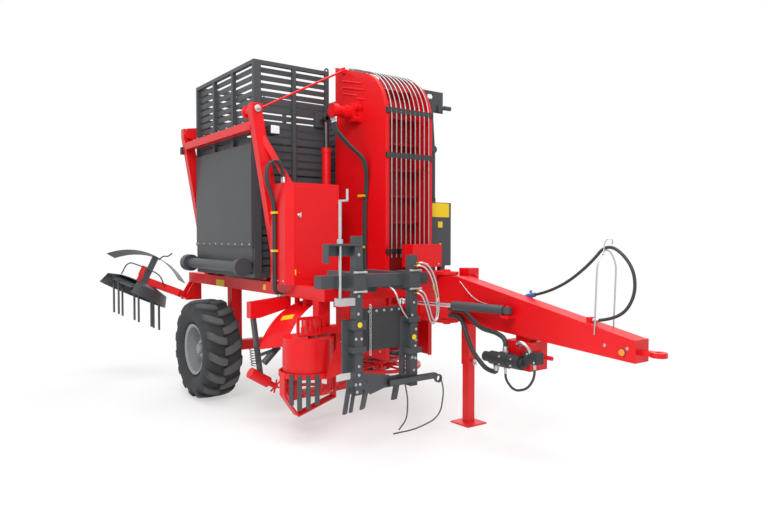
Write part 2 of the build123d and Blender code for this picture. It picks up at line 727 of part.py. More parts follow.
def make_side_panel():
    """Plain sheet over the lower part of the right wall, folded at its front edge, with an apron below."""
    x = (BUNKER_REAR_X, BUNKER_FRONT_X)
    outside = BUNKER_RIGHT_Y - SIDE_PANEL_THICKNESS
    sheet = box(x, (outside, BUNKER_RIGHT_Y), (SIDE_PANEL_BOTTOM, SIDE_PANEL_TOP))
    fold_y = (BUNKER_RIGHT_Y - PANEL_FOLD, BUNKER_RIGHT_Y)
    fold = box((x[1] - SIDE_PANEL_THICKNESS, x[1]), fold_y, (SIDE_PANEL_BOTTOM, SIDE_PANEL_TOP))
    strip = box(x, (outside - SIDE_PANEL_THICKNESS, outside), (SIDE_PANEL_BOTTOM, SIDE_PANEL_BOTTOM + PANEL_FOLD))
    apron_x = (x[0] + PANEL_FOLD, x[1] - PANEL_FOLD)
    apron = box(apron_x, (outside, BUNKER_RIGHT_Y), (APRON_BOTTOM, SIDE_PANEL_BOTTOM))
    return join([sheet, fold, strip, apron])


def make_roller():
    """Roller along the foot of the right wall: tube, front end disc, rear motor and their brackets."""
    middle_y = BUNKER_RIGHT_Y - ROLLER_DISC_RADIUS - SIDE_PANEL_THICKNESS - RUN_GAP
    motor_start = BUNKER_REAR_X - PORTAL_REAR_GAP + 2 * RUN_GAP
    motor_x = (motor_start, motor_start + ROLLER_MOTOR_LENGTH)
    rear_x = motor_x[1]

    def round_piece(x, radius):
        return rod((x[0], middle_y, ROLLER_Z), (x[1], middle_y, ROLLER_Z), radius)

    front_x = BUNKER_FRONT_X - ROLLER_INSET
    disc_x = (front_x - ROLLER_DISC_LENGTH, front_x)
    pieces = [
        round_piece((rear_x - 1, front_x), ROLLER_RADIUS),
        round_piece(disc_x, ROLLER_DISC_RADIUS),
        round_piece(motor_x, ROLLER_DISC_RADIUS + SHEET),
    ]
    for x in (span(sum(disc_x) / 2, LUG_THICKNESS), span(BUNKER_REAR_X + LUG_THICKNESS, LUG_THICKNESS)):
        pieces.append(box(x, (middle_y, BUNKER_RIGHT_Y), span(ROLLER_Z, ROLLER_RADIUS)))
    return join(pieces)


def lifting_eye(wall_x, inward):
    """Flat eye on top of an end wall, over the post beside the mouth."""
    thick = sorted((wall_x + inward * LIFT_EYE_THICKNESS, wall_x + 2 * inward * LIFT_EYE_THICKNESS))
    middle = (BUNKER_MOUTH_Y - BUNKER_POST / 2, BUNKER_TOP + LIFT_EYE_RADIUS / 2)
    ring = rod((thick[0], *middle), (thick[1], *middle), LIFT_EYE_RADIUS)
    return ring - rod((thick[0], *middle), (thick[1], *middle), LIFT_EYE_RADIUS / 2)


def make_tip_arms():
    """Plates on the right wall's two ends with the pins that turn in the portal."""
    outline = [
        (BUNKER_RIGHT_Y + BUNKER_POST, TIP_PIVOT_Z - TIP_ARM_DEPTH),
        (BUNKER_RIGHT_Y + BUNKER_POST, TIP_PIVOT_Z + TIP_ARM_DEPTH),
        (TIP_PIVOT_Y - TIP_HEAD / 2, TIP_PIVOT_Z + TIP_HEAD),
        (TIP_PIVOT_Y - TIP_HEAD, TIP_PIVOT_Z),
        (TIP_PIVOT_Y - TIP_HEAD / 2, TIP_PIVOT_Z - TIP_HEAD),
    ]
    arms = []
    front, rear = post_planes()
    for wall, near, far, away in (
        (BUNKER_FRONT_X, front[0], front[1], 1),
        (BUNKER_REAR_X, rear[1], rear[0], -1),
    ):
        plate = prism("x", outline, *sorted((wall, wall + away * LUG_THICKNESS)))
        start = (wall + away * LUG_THICKNESS / 2, TIP_PIVOT_Y, TIP_PIVOT_Z)
        pin = rod(start, (far + away * PIN_END, TIP_PIVOT_Y, TIP_PIVOT_Z), TIP_PIN_RADIUS)
        collar = rod(start, (near - away * RUN_GAP, TIP_PIVOT_Y, TIP_PIVOT_Z), TIP_PIN_RADIUS + PIN_END)
        arms.append(join([plate, pin, collar]))
    return Compound(arms)


def make_tip_barrels():
    """Barrels of the two tipping cylinders, which swing on one line."""
    barrels = []
    for plane_x, _ in tip_planes():
        foot = (plane_x, TIP_CYLINDER_Y, TIP_BASE_Z)
        gland = (plane_x, TIP_CYLINDER_Y, TIP_GLAND_Z)
        start = (plane_x, TIP_CYLINDER_Y, TIP_BASE_Z + EYE_RADIUS - 8)
        low_x, high_x = span(plane_x, EYE_WIDTH)
        eye = rod((low_x, *foot[1:]), (high_x, *foot[1:]), EYE_RADIUS)
        hole = rod((low_x, *foot[1:]), (high_x, *foot[1:]), EYE_PIN_RADIUS + PIN_GAP)
        collar = rod((*gland[:2], TIP_GLAND_Z - 50), gland, TIP_BARREL_RADIUS + TIP_COLLAR)
        body = join([rod(start, gland, TIP_BARREL_RADIUS), collar, eye])
        inside = rod((*foot[:2], TIP_BASE_Z + EYE_RADIUS + 40), gland, TIP_ROD_RADIUS + PIN_GAP)
        barrels.append(body - hole - inside)
    return Compound(barrels)


def make_tip_rods():
    """Rods of the two tipping cylinders with their eyes."""
    rods = []
    for plane_x, _ in tip_planes():
        low = (plane_x, TIP_CYLINDER_Y, TIP_BASE_Z + EYE_RADIUS + 60)
        high = (plane_x, TIP_CYLINDER_Y, TIP_EYE_Z - EYE_RADIUS + 8)
        low_x, high_x = span(plane_x, EYE_WIDTH)
        eye = rod((low_x, TIP_CYLINDER_Y, TIP_EYE_Z), (high_x, TIP_CYLINDER_Y, TIP_EYE_Z), EYE_RADIUS)
        hole = rod((low_x, TIP_CYLINDER_Y, TIP_EYE_Z), (high_x, TIP_CYLINDER_Y, TIP_EYE_Z), EYE_PIN_RADIUS)
        rods.append(join([rod(low, high, TIP_ROD_RADIUS), eye]) - hole)
    return Compound(rods)


# Elevator


def arch_points(inset, low, rear, y):
    """Points of the housing's front and top edge at one Y, moved inwards by an inset."""
    radius = ELEVATOR_ARCH_RADIUS - inset
    lean = radians(ELEVATOR_TOP_SLOPE)
    centre = Vector(ELEVATOR_FRONT_X - ELEVATOR_ARCH_RADIUS, y, ELEVATOR_ARCH_Z)
    half = (pi / 2 - lean) / 2
    front = centre + Vector(radius, 0, 0)
    middle = centre + Vector(radius * cos(half), 0, radius * sin(half))
    bend = centre + Vector(radius * sin(lean), 0, radius * cos(lean))
    rear_top = Vector(rear, y, bend.Z + (bend.X - rear) * tan(lean))
    return Vector(front.X, y, low), front, middle, bend, rear_top


def arch_edges(inset, low, rear, y):
    """Front edge, round arch and sloping top edge as one smooth run."""
    front_low, front, middle, bend, rear_top = arch_points(inset, low, rear, y)
    return [
        Edge.make_line(front_low, front),
        Edge.make_three_point_arc(front, middle, bend),
        Edge.make_line(bend, rear_top),
    ]


def top_height(x, inset=0):
    """Height of the sloping top edge at a place along it."""
    return arch_points(inset, ELEVATOR_BOTTOM, x, 0)[-1].Z


def arch_solid(inset, low, rear, y):
    """Solid of the housing's side outline between two Y values."""
    front_low, *_, rear_top = arch_points(inset, low, rear, y[0])
    rear_low = Vector(rear, y[0], low)
    edges = arch_edges(inset, low, rear, y[0])
    edges.append(Edge.make_line(rear_top, rear_low))
    edges.append(Edge.make_line(rear_low, front_low))
    return Solid.extrude(Face(Wire(edges)), Vector(0, y[1] - y[0], 0))


def make_elevator_housing():
    """Two side plates with front flanges, the rear sheet and the cross tubes."""
    right = (ELEVATOR_RIGHT_Y, ELEVATOR_RIGHT_Y + ELEVATOR_PLATE)
    left = (ELEVATOR_LEFT_Y - ELEVATOR_PLATE, ELEVATOR_LEFT_Y)
    whole = (ELEVATOR_RIGHT_Y, ELEVATOR_LEFT_Y)
    pieces = []
    right_flange = (right[0], right[0] + ELEVATOR_FLANGE)
    left_flange = (left[1] - ELEVATOR_FLANGE, left[1])
    for plate, flange in ((right, right_flange), (left, left_flange)):
        pieces.append(arch_solid(0, ELEVATOR_BOTTOM, ELEVATOR_REAR_X, plate))
        rim = arch_solid(0, ELEVATOR_BOTTOM, ELEVATOR_REAR_X, flange)
        inner = arch_solid(ELEVATOR_PLATE, ELEVATOR_BOTTOM - 1, ELEVATOR_REAR_X - 1, flange)
        pieces.append(rim - inner)
    pieces += make_elevator_ribs()
    sheet_top = BUNKER_MOUTH_Z + 60
    sheet = (ELEVATOR_REAR_X, ELEVATOR_REAR_X + ELEVATOR_PLATE)
    pieces.append(box(sheet, whole, (ELEVATOR_BOTTOM, sheet_top)))
    return join(pieces)


def make_elevator_ribs():
    """Pressed ribs on the housing's right side, along the sloping top edge."""
    fall = tan(radians(ELEVATOR_TOP_SLOPE)) * 0.8
    ribs = []
    # Each rib: rear end, front end, drop below the top edge at its rear end
    for start, end, drop in ((1140, 1480, 130), (1140, 1520, 195), (1140, 1400, 260), (1390, 1520, 275)):
        high = top_height(start) - drop
        low = high - (end - start) * fall
        ribs.append(rod((start, ELEVATOR_RIGHT_Y, high), (end, ELEVATOR_RIGHT_Y, low), RIB_RADIUS))
    return ribs


def web_top():
    """Height of the web's upper shaft, under the sloping top edge."""
    return top_height(WEB_MIDDLE_X) - WEB_RADIUS - FLIGHT_HEIGHT - WEB_TOP_GAP


def make_elevator_web():
    """Endless chain web with its flights, as one fixed loop round two drums."""
    y = (ELEVATOR_RIGHT_Y + WEB_SIDE_GAP, ELEVATOR_LEFT_Y - WEB_SIDE_GAP)
    depth = y[1] - y[0]
    top_z = web_top()

    def loop(radius):
        ends = [(WEB_MIDDLE_X, y[0], z) for z in (WEB_BOTTOM_Z, top_z)]
        low, high = [Vector(*end) for end in ends]
        side = Vector(radius, 0, 0)
        drop = Vector(0, 0, radius)
        edges = [
            Edge.make_line(low + side, high + side),
            Edge.make_three_point_arc(high + side, high + drop, high - side),
            Edge.make_line(high - side, low - side),
            Edge.make_three_point_arc(low - side, low - drop, low + side),
        ]
        return Solid.extrude(Face(Wire(edges)), Vector(0, depth, 0))

    pieces = [loop(WEB_RADIUS) - loop(WEB_RADIUS - WEB_THICKNESS)]
    straight = top_z - WEB_BOTTOM_Z
    half_turn = pi * WEB_RADIUS
    length = 2 * (straight + half_turn)
    for flight in range(FLIGHT_COUNT):
        run = length * flight / FLIGHT_COUNT
        if run < straight:
            place = Location((WEB_MIDDLE_X + WEB_RADIUS, y[0], WEB_BOTTOM_Z + run), (0, 0, 0))
        elif run < straight + half_turn:
            angle = (run - straight) / WEB_RADIUS
            place = Location((WEB_MIDDLE_X, y[0], top_z), (0, -angle * 180 / pi, 0)) * Pos(WEB_RADIUS, 0, 0)
        elif run < 2 * straight + half_turn:
            down = run - straight - half_turn
            place = Location((WEB_MIDDLE_X - WEB_RADIUS, y[0], top_z - down), (0, 180, 0))
        else:
            angle = (run - 2 * straight - half_turn) / WEB_RADIUS
            turned = Location((WEB_MIDDLE_X, y[0], WEB_BOTTOM_Z), (0, 180 - angle * 180 / pi, 0))
            place = turned * Pos(WEB_RADIUS, 0, 0)
        paddle = box((-WEB_THICKNESS / 2, FLIGHT_HEIGHT), (0, depth), span(0, FLIGHT_THICKNESS))
        pieces.append(place * paddle)
    for z in (WEB_BOTTOM_Z, top_z):
        shaft_start = (WEB_MIDDLE_X, ELEVATOR_RIGHT_Y + ELEVATOR_PLATE, z)
        shaft_end = (WEB_MIDDLE_X, ELEVATOR_LEFT_Y - ELEVATOR_PLATE, z)
        pieces.append(rod(shaft_start, shaft_end, 30))
        for drum_y in (y[0] + 60, y[1] - 100):
            pieces.append(
                rod((WEB_MIDDLE_X, drum_y, z), (WEB_MIDDLE_X, drum_y + 40, z), WEB_RADIUS - WEB_THICKNESS / 2)
            )
    return join(pieces)


def make_elevator_guard():
    """Bent guard rods over the arch and down the front, on cross bars that seat on the housing."""
    lift = GUARD_STAND_OFF + GUARD_ROD_RADIUS
    back_x = ELEVATOR_REAR_X + 260
    front_x = ELEVATOR_FRONT_X + lift
    first = ELEVATOR_RIGHT_Y + 60
    step = (ELEVATOR_LEFT_Y - 60 - first) / (GUARD_ROD_COUNT - 1)
    pieces = []
    for index in range(GUARD_ROD_COUNT):
        path = Wire(arch_edges(-lift, GUARD_LOW_Z, back_x, first + index * step))
        section = Plane(origin=path @ 0, z_dir=path % 0) * Circle(GUARD_ROD_RADIUS)
        pieces.append(sweep(section, path=path))
    whole = (ELEVATOR_RIGHT_Y - 2, ELEVATOR_LEFT_Y + 2)
    for level in (GUARD_LOW_Z + 60, GUARD_MIDDLE_Z, ELEVATOR_ARCH_Z + 60):
        pieces.append(box((ELEVATOR_FRONT_X, front_x), whole, span(level, GUARD_REST)))
    ends = (back_x, back_x + GUARD_REST)
    rest = [(x, top_height(x)) for x in ends] + [(x, top_height(x, -lift)) for x in reversed(ends)]
    pieces.append(prism("y", rest, *whole))
    return join(pieces)


def make_elevator_drive():
    """Drive motor, bearing flange and chain case on the right side plate, at the upper shaft."""
    x, z, y = WEB_MIDDLE_X, web_top(), ELEVATOR_RIGHT_Y
    pieces = [box(span(x, DRIVE_PLATE), (y - LUG_THICKNESS, y), span(z, DRIVE_PLATE))]
    # Round pieces along the shaft: near end, far end, radius
    for near, far, radius in (
        (LUG_THICKNESS - 1, 80, DRIVE_PLATE / 2 - 12),
        (79, 150, DRIVE_PLATE / 3),
        (149, DRIVE_LENGTH - 60, DRIVE_PLATE / 4),
        (DRIVE_LENGTH - 61, DRIVE_LENGTH, DRIVE_PLATE / 3),
    ):
        pieces.append(rod((x, y - far, z), (x, y - near, z), radius))
    # Smaller lumps beside the shaft: along X, along Z, radius
    for along, up, radius in ((95, 40, 34), (80, -75, 28), (-70, -80, 30), (-85, 60, 24)):
        pieces.append(rod((x + along, y - 85, z + up), (x + along, y - 5, z + up), radius))
    return join(pieces)


# Boxes on the frame


def make_cabinet():
    """Oil tank cover that stands on the right beam, with a chamfered front corner."""
    (x0, x1), (y0, y1) = CABINET_X, CABINET_Y
    cut = CABINET_CHAMFER
    outline = [(x0, y0), (x1 - cut, y0), (x1, y0 + cut), (x1, y1), (x0, y1)]
    return prism("z", outline, BEAM_TOP, CABINET_TOP)


def make_valve_box():
    """Valve cabinet on a stand at the left of the elevator."""
    stand = box(span(sum(VALVE_BOX_X) / 2, 60), span(BEAM_Y, 60), (BEAM_TOP, VALVE_BOX_Z[0] + 5))
    return join([box(VALVE_BOX_X, VALVE_BOX_Y, VALVE_BOX_Z), stand])


def make_toolbox():
    """Folded box on top of the pivot tower."""
    _, upper = ear_heights()
    foot = box((TOOLBOX_X[0] + 20, TOOLBOX_X[1] - 50), (PIVOT_Y - 60, PIVOT_Y + 60), (upper[1], TOOLBOX_Z[0] + 2))
    return join([box(TOOLBOX_X, TOOLBOX_Y, TOOLBOX_Z), foot])


# Drawbar


def make_drawbar():
    """Tapered box beam with its pivot sleeve, jack arms, steering clevis and pump hanger."""
    (root_low, root_high), (tip_low, tip_high) = DRAWBAR_ROOT_Z, DRAWBAR_TIP_Z
    outline = [
        (PIVOT_X, root_low),
        (DRAWBAR_ROOT_X, root_low),
        (DRAWBAR_TIP_X, tip_low),
        (DRAWBAR_TIP_X, tip_high),
        (DRAWBAR_ROOT_X, root_high),
        (PIVOT_X, root_high),
    ]
    wide = span(PIVOT_Y, DRAWBAR_WIDTH)
    axis = ((PIVOT_X, PIVOT_Y, root_low), (PIVOT_X, PIVOT_Y, root_high))
    pieces = [
        prism("y", outline, *wide),
        rod(*axis, PIVOT_SLEEVE_RADIUS + 5),
    ]
    for level in (root_low + 70, root_high - 110):
        arm_y = (wide[1] - 2, JACK_Y - JACK_SLEEVE_SIZE / 2)
        pieces.append(box(span(JACK_X, 90), arm_y, span(level, 60)))
    clevis_x, clevis_y = STEER_CLEVIS
    level = STEER_Z - STEER_BARREL_RADIUS - 2 - LUG_THICKNESS
    lug_z = (level, level + LUG_THICKNESS)
    pieces.append(box(span(clevis_x, 90), (clevis_y - EYE_RADIUS, wide[0] + 4), lug_z))
    pin = ((clevis_x, clevis_y, level + 2), (clevis_x, clevis_y, STEER_Z + EYE_WIDTH / 2 + 12))
    pieces.append(rod(*pin, EYE_PIN_RADIUS))
    hanger_z = (PUMP_Z + PUMP_BOX[2] / 2, beam_bottom(PUMP_X) + 15)
    hanger = box(span(PUMP_X, 1.6 * HANGER_WIDTH), span(PIVOT_Y, HANGER_WIDTH), hanger_z)
    pieces.append(hanger)
    clip_x, clip_y, clip_z = LOOP_POINTS[0]
    clip_reach = (wide[1] - 2, clip_y + 2 * LOOP_RADIUS)
    pieces.append(box((clip_x - 40, clip_x - CLIP_GAP), clip_reach, span(clip_z, 4 * LOOP_RADIUS)))
    end_x, _, end_z = LOOP_POINTS[-1]
    fitting_z = (beam_top(end_x) - 30, end_z + 2 * LOOP_RADIUS)
    pieces.append(box((end_x - 40, end_x - CLIP_GAP), span(PIVOT_Y, 4 * LOOP_RADIUS), fitting_z))
    bore = rod(*axis, PIVOT_PIN_RADIUS + PIN_GAP)
    return join(pieces) - bore


def beam_bottom(x):
    """Height of the drawbar's lower face at a place along it."""
    share = (x - DRAWBAR_ROOT_X) / (DRAWBAR_TIP_X - DRAWBAR_ROOT_X)
    return DRAWBAR_ROOT_Z[0] + share * (DRAWBAR_TIP_Z[0] - DRAWBAR_ROOT_Z[0])


def beam_top(x):
    """Height of the drawbar's upper face at a place along it."""
    share = (x - DRAWBAR_ROOT_X) / (DRAWBAR_TIP_X - DRAWBAR_ROOT_X)
    return DRAWBAR_ROOT_Z[1] + share * (DRAWBAR_TIP_Z[1] - DRAWBAR_ROOT_Z[1])


def make_hitch():
    """Towing eye with its shank and flange, bolted to the drawbar's tip."""
    z = span(HITCH_Z, HITCH_THICKNESS)
    ring = rod((HITCH_X, PIVOT_Y, z[0]), (HITCH_X, PIVOT_Y, z[1]), HITCH_RADIUS)
    shank = box((DRAWBAR_TIP_X, HITCH_X), span(PIVOT_Y, HITCH_SHANK), z)
    flange = box((DRAWBAR_TIP_X, DRAWBAR_TIP_X + 25), span(PIVOT_Y, DRAWBAR_WIDTH), DRAWBAR_TIP_Z)
    bore = rod((HITCH_X, PIVOT_Y, z[0]), (HITCH_X, PIVOT_Y, z[1]), HITCH_BORE_RADIUS)
    return join([ring, shank, flange]) - bore


def make_gearbox():
    """Drive gearbox under the drawbar with the splined input shaft in front."""
    long, wide, high = PUMP_BOX
    front = PUMP_X + long / 2
    pieces = [
        box(span(PUMP_X, long), span(PIVOT_Y, wide), span(PUMP_Z, high)),
        rod((front - 1, PIVOT_Y, PUMP_Z), (front + PTO_NECK, PIVOT_Y, PUMP_Z), PTO_NECK),
        rod((front, PIVOT_Y, PUMP_Z), (front + PTO_NECK + PTO_LENGTH, PIVOT_Y, PUMP_Z), PTO_RADIUS),
    ]
    return join(pieces)


def make_pump():
    """Tandem pumps at the gearbox's right, with a valve box in front of them."""
    long, wide, high = PUMP_BOX
    y = pump_y()
    pieces = []
    # Pump stages: low and high X from the gearbox's middle, radius
    stages = (
        (-300, -225, 42),
        (-226, -120, PUMP_REAR_RADIUS),
        (-121, -20, PUMP_RADIUS),
        (-21, 100, 58),
        (99, 125, 40),
    )
    for low, front, radius in stages:
        pieces.append(rod((PUMP_X + low, y, PUMP_AXIS_Z), (PUMP_X + front, y, PUMP_AXIS_Z), radius))
    pieces.append(box((PUMP_X - 110, PUMP_X + 60), (y - 30, PIVOT_Y - wide / 2), span(PUMP_AXIS_Z, 70)))
    valve_x = (PUMP_X + 140, PUMP_X + 270)
    pieces.append(box(valve_x, (y - 20, y + 60), (PUMP_Z - 30, PUMP_Z + 60)))
    pieces.append(box((PUMP_X + 90, PUMP_X + 150), (y - 12, y + 30), (PUMP_Z - 60, PUMP_Z)))
    return join(pieces)


def steer_line():
    """Unit vector from the drawbar's clevis pin to the chassis anchor, and their distance."""
    run = Vector(*STEER_ANCHOR, 0) - Vector(*STEER_CLEVIS, 0)
    return run.normalized(), run.length


def make_steer_barrel():
    """Barrel of the steering cylinder, which swings on the drawbar's clevis."""
    way, _ = steer_line()
    start = Vector(*STEER_CLEVIS, STEER_Z)
    mouth = start + way * STEER_BARREL_LENGTH
    low, high = span(STEER_Z, EYE_WIDTH)
    eye = rod((*STEER_CLEVIS, low), (*STEER_CLEVIS, high), EYE_RADIUS)
    hole = rod((*STEER_CLEVIS, low), (*STEER_CLEVIS, high), EYE_PIN_RADIUS + PIN_GAP)
    body = rod(tuple(start + way * (EYE_RADIUS - 8)), tuple(mouth), STEER_BARREL_RADIUS)
    inside = rod(tuple(start + way * (EYE_RADIUS + 30)), tuple(mouth), STEER_ROD_RADIUS + PIN_GAP)
    return join([body, eye]) - hole - inside


def make_steer_rod():
    """Rod of the steering cylinder, with its eye over the chassis anchor."""
    way, length = steer_line()
    start = Vector(*STEER_CLEVIS, STEER_Z)
    low, high = span(STEER_Z, EYE_WIDTH)
    eye = rod((*STEER_ANCHOR, low), (*STEER_ANCHOR, high), EYE_RADIUS)
    hole = rod((*STEER_ANCHOR, low), (*STEER_ANCHOR, high), EYE_PIN_RADIUS)
    shaft = rod(tuple(start + way * 240), tuple(start + way * (length - EYE_RADIUS + 6)), STEER_ROD_RADIUS)
    return join([shaft, eye]) - hole


def make_jack_sleeve():
    """Outer tube of the jack with its gear head and crank."""
    outer = span(JACK_X, JACK_SLEEVE_SIZE), span(JACK_Y, JACK_SLEEVE_SIZE)
    room = JACK_LEG_SIZE + 2 * PIN_GAP
    low, high = JACK_SLEEVE_Z
    tube_wall = box(*outer, (low, high))
    inside = box(span(JACK_X, room), span(JACK_Y, room), (low, high))
    head = box(span(JACK_X, JACK_HEAD_SIZE), span(JACK_Y, JACK_HEAD_SIZE), (high - 1, high + JACK_HEAD_HEIGHT))
    level = high + JACK_HEAD_HEIGHT / 2
    crank_x = JACK_X + JACK_HEAD_SIZE / 2
    crank_path = [
        (crank_x - 5, JACK_Y, level),
        (crank_x + 50, JACK_Y, level),
        (crank_x + 50, JACK_Y, level - 140),
        (crank_x + 140, JACK_Y, level - 140),
    ]
    crank = pipe(crank_path, 25, 11)
    return join([tube_wall - inside, head, crank])


def make_jack_leg():
    """Sliding leg of the jack with its foot plate on the ground."""
    top = JACK_SLEEVE_Z[1] - JACK_LIFT - RUN_GAP
    leg = box(span(JACK_X, JACK_LEG_SIZE), span(JACK_Y, JACK_LEG_SIZE), (0, top))
    foot = box(span(JACK_X, JACK_FOOT_SIZE), span(JACK_Y, JACK_FOOT_SIZE), (0, JACK_FOOT_THICKNESS))
    return join([leg, foot])


# Topper


def make_topper_frame():
    """Cross beam on two arms, two posts with their clamps and plates, the knife and its legs."""
    half = TOPPER_BEAM_SIZE / 2
    beam_x = span(TOPPER_BEAM_X, TOPPER_BEAM_SIZE)
    pieces = [box(beam_x, TOPPER_BEAM_Y, span(TOPPER_BEAM_Z, TOPPER_BEAM_SIZE))]
    for y in (TOPPER_RIGHT_Y + 250, TOPPER_LEFT_Y + 60):
        arm_x = (BEAM_FRONT_X - CROSS_WIDTH, beam_x[0] + 2)
        pieces.append(box(arm_x, span(y, 90), (BEAM_TOP, TOPPER_BEAM_Z + half)))
    for y, top in ((TOPPER_RIGHT_Y, TOPPER_RIGHT_TOP), (TOPPER_LEFT_Y, TOPPER_LEFT_TOP)):
        pieces.append(box(span(TOPPER_X, TOPPER_POST), span(y, TOPPER_POST), (TOPPER_FOOT_Z, top)))
        clamp_x = (TOPPER_BEAM_X - half, TOPPER_X + TOPPER_POST / 2 + 15)
        pieces.append(box(clamp_x, span(y, TOPPER_POST + 40), span(TOPPER_BEAM_Z, TOPPER_BEAM_SIZE + 40)))
    # Plates on the posts' front or rear faces: X from the post's middle, low and high Y, low and high Z
    front = TOPPER_POST / 2
    right, left = TOPPER_RIGHT_Y, TOPPER_LEFT_Y
    for x, y, z in (
        ((-front, front + 8), (right - 285, right + 20), (1690, 1705)),
        ((-front, front + 8), (right - 285, right - 273), (1560, 1700)),
        ((-front, -front + 12), (right - 285, right), (1610, 1700)),
        ((-front - 12, -front + 1), (right - 110, right + 85), (700, 1115)),
        ((-front, front + 10), (right - 60, right + 60), (1040, 1110)),
        ((-front, front + 10), (right - 60, right + 60), (860, 905)),
        ((-front - 12, -front + 1), (left - 90, left + 95), (780, 1100)),
        ((-front, front + 10), (left - 60, left + 60), (1060, 1100)),
        ((-front, front + 10), (left - 60, left + 75), (800, 845)),
        ((-front - 60, -front + 1), (left - 60, left - 40), (580, 1100)),
        ((-20, 20), (right, left), (TOPPER_FOOT_Z + 20, TOPPER_FOOT_Z + 100)),
        ((13, 29), (right - 105, right), (600, 660)),
    ):
        pieces.append(box([TOPPER_X + value for value in x], y, z))
    knife = [(right - 40, 716), (left - 250, 650), (left - 280, 560), (right + 110, 520), (right, 600)]
    pieces.append(prism("x", knife, TOPPER_X + front - 14, TOPPER_X + front - 2))
    # Legs: Y at the top and at the foot, width, height of the foot
    for top_y, foot_y, wide, foot in ((-80, -95, 42, 385), (-25, -40, 30, 390), (95, 70, 70, 400), (395, 385, 62, 430)):
        top = (TOPPER_X + front - 14, right + top_y, 640)
        pieces.append(bar(top, (TOPPER_X + front - 60, right + foot_y, foot), wide, 16))
    return join(pieces)


def make_topper_spindle():
    """Height spindle with its crank, in the plate arm beside the right post."""
    y = TOPPER_RIGHT_Y - SPINDLE_OFFSET
    crank_z = SPINDLE_TOP - SPINDLE_CRANK_RADIUS
    crank_x = TOPPER_X + SPINDLE_CRANK
    arm = (TOPPER_X - TOPPER_POST / 2, TOPPER_X + TOPPER_POST / 2)
    pieces = [
        rod((TOPPER_X, y, 1705), (TOPPER_X, y, SPINDLE_TOP), SPINDLE_STEM_RADIUS),
        rod((TOPPER_X, y, SPINDLE_BOTTOM), (TOPPER_X, y, 1690), SPINDLE_STEM_RADIUS),
        rod((TOPPER_X, y, 1705), (TOPPER_X, y, 1740), 2 * SPINDLE_STEM_RADIUS),
        rod((TOPPER_X, y, crank_z), (crank_x, y, crank_z), SPINDLE_CRANK_RADIUS),
        rod((crank_x, y, crank_z), (crank_x, y, crank_z + SPINDLE_HANDLE), SPINDLE_CRANK_RADIUS),
    ]
    return Compound([join([pieces[0], *pieces[2:]]), join([pieces[1], foot_block(arm, y)])])


def foot_block(x, y):
    """Block that guides the spindle's lower end, against the right post."""
    return box(x, (y - 30, TOPPER_RIGHT_Y - TOPPER_POST / 2), (SPINDLE_BOTTOM - 20, SPINDLE_BOTTOM + 40))


def make_curtain():
    """Rubber curtain that hangs behind the topper's posts."""
    x_back = TOPPER_X - TOPPER_POST / 2 - 12
    y = (TOPPER_RIGHT_Y + 30, TOPPER_LEFT_Y - 65)
    return box((x_back - CURTAIN_THICKNESS, x_back), y, CURTAIN_Z)


def make_feelers():
    """Row feelers: a square bar with a coil and two bent wires."""
    z = TOPPER_FOOT_Z + 65
    y = TOPPER_LEFT_Y
    x = TOPPER_X + TOPPER_POST / 2 + FEELER_BAR / 2
    pieces = [box(span(x, FEELER_BAR), (y - 280, y + 215), span(z, FEELER_BAR))]
    coil = (x, y + 245, z - 30)
    ring = tube((coil[0] - 12, *coil[1:]), (coil[0] + 12, *coil[1:]), FEELER_COIL, FEELER_COIL - 2 * FEELER_WIRE)
    arm = rod((x, y + 200, z), (x, y + 245, z - 30 + FEELER_COIL - FEELER_WIRE), FEELER_WIRE)
    pieces += [ring, arm]
    long_wire = [
        (x, coil[1] + FEELER_COIL - FEELER_WIRE, coil[2]),
        (x + 10, y + 300, z - 140),
        (x, y + 270, 235),
        (x - 60, y + 60, 150),
        (x - 80, y - 170, 145),
    ]
    short_wire = [(x, y - 120, z), (x + 30, y - 105, z - 150), (x + 20, y - 110, 280), (x - 20, y - 160, 190)]
    for points in (long_wire, short_wire):
        pieces.append(hose(points, FEELER_WIRE))
    return join(pieces)


# Lifting unit


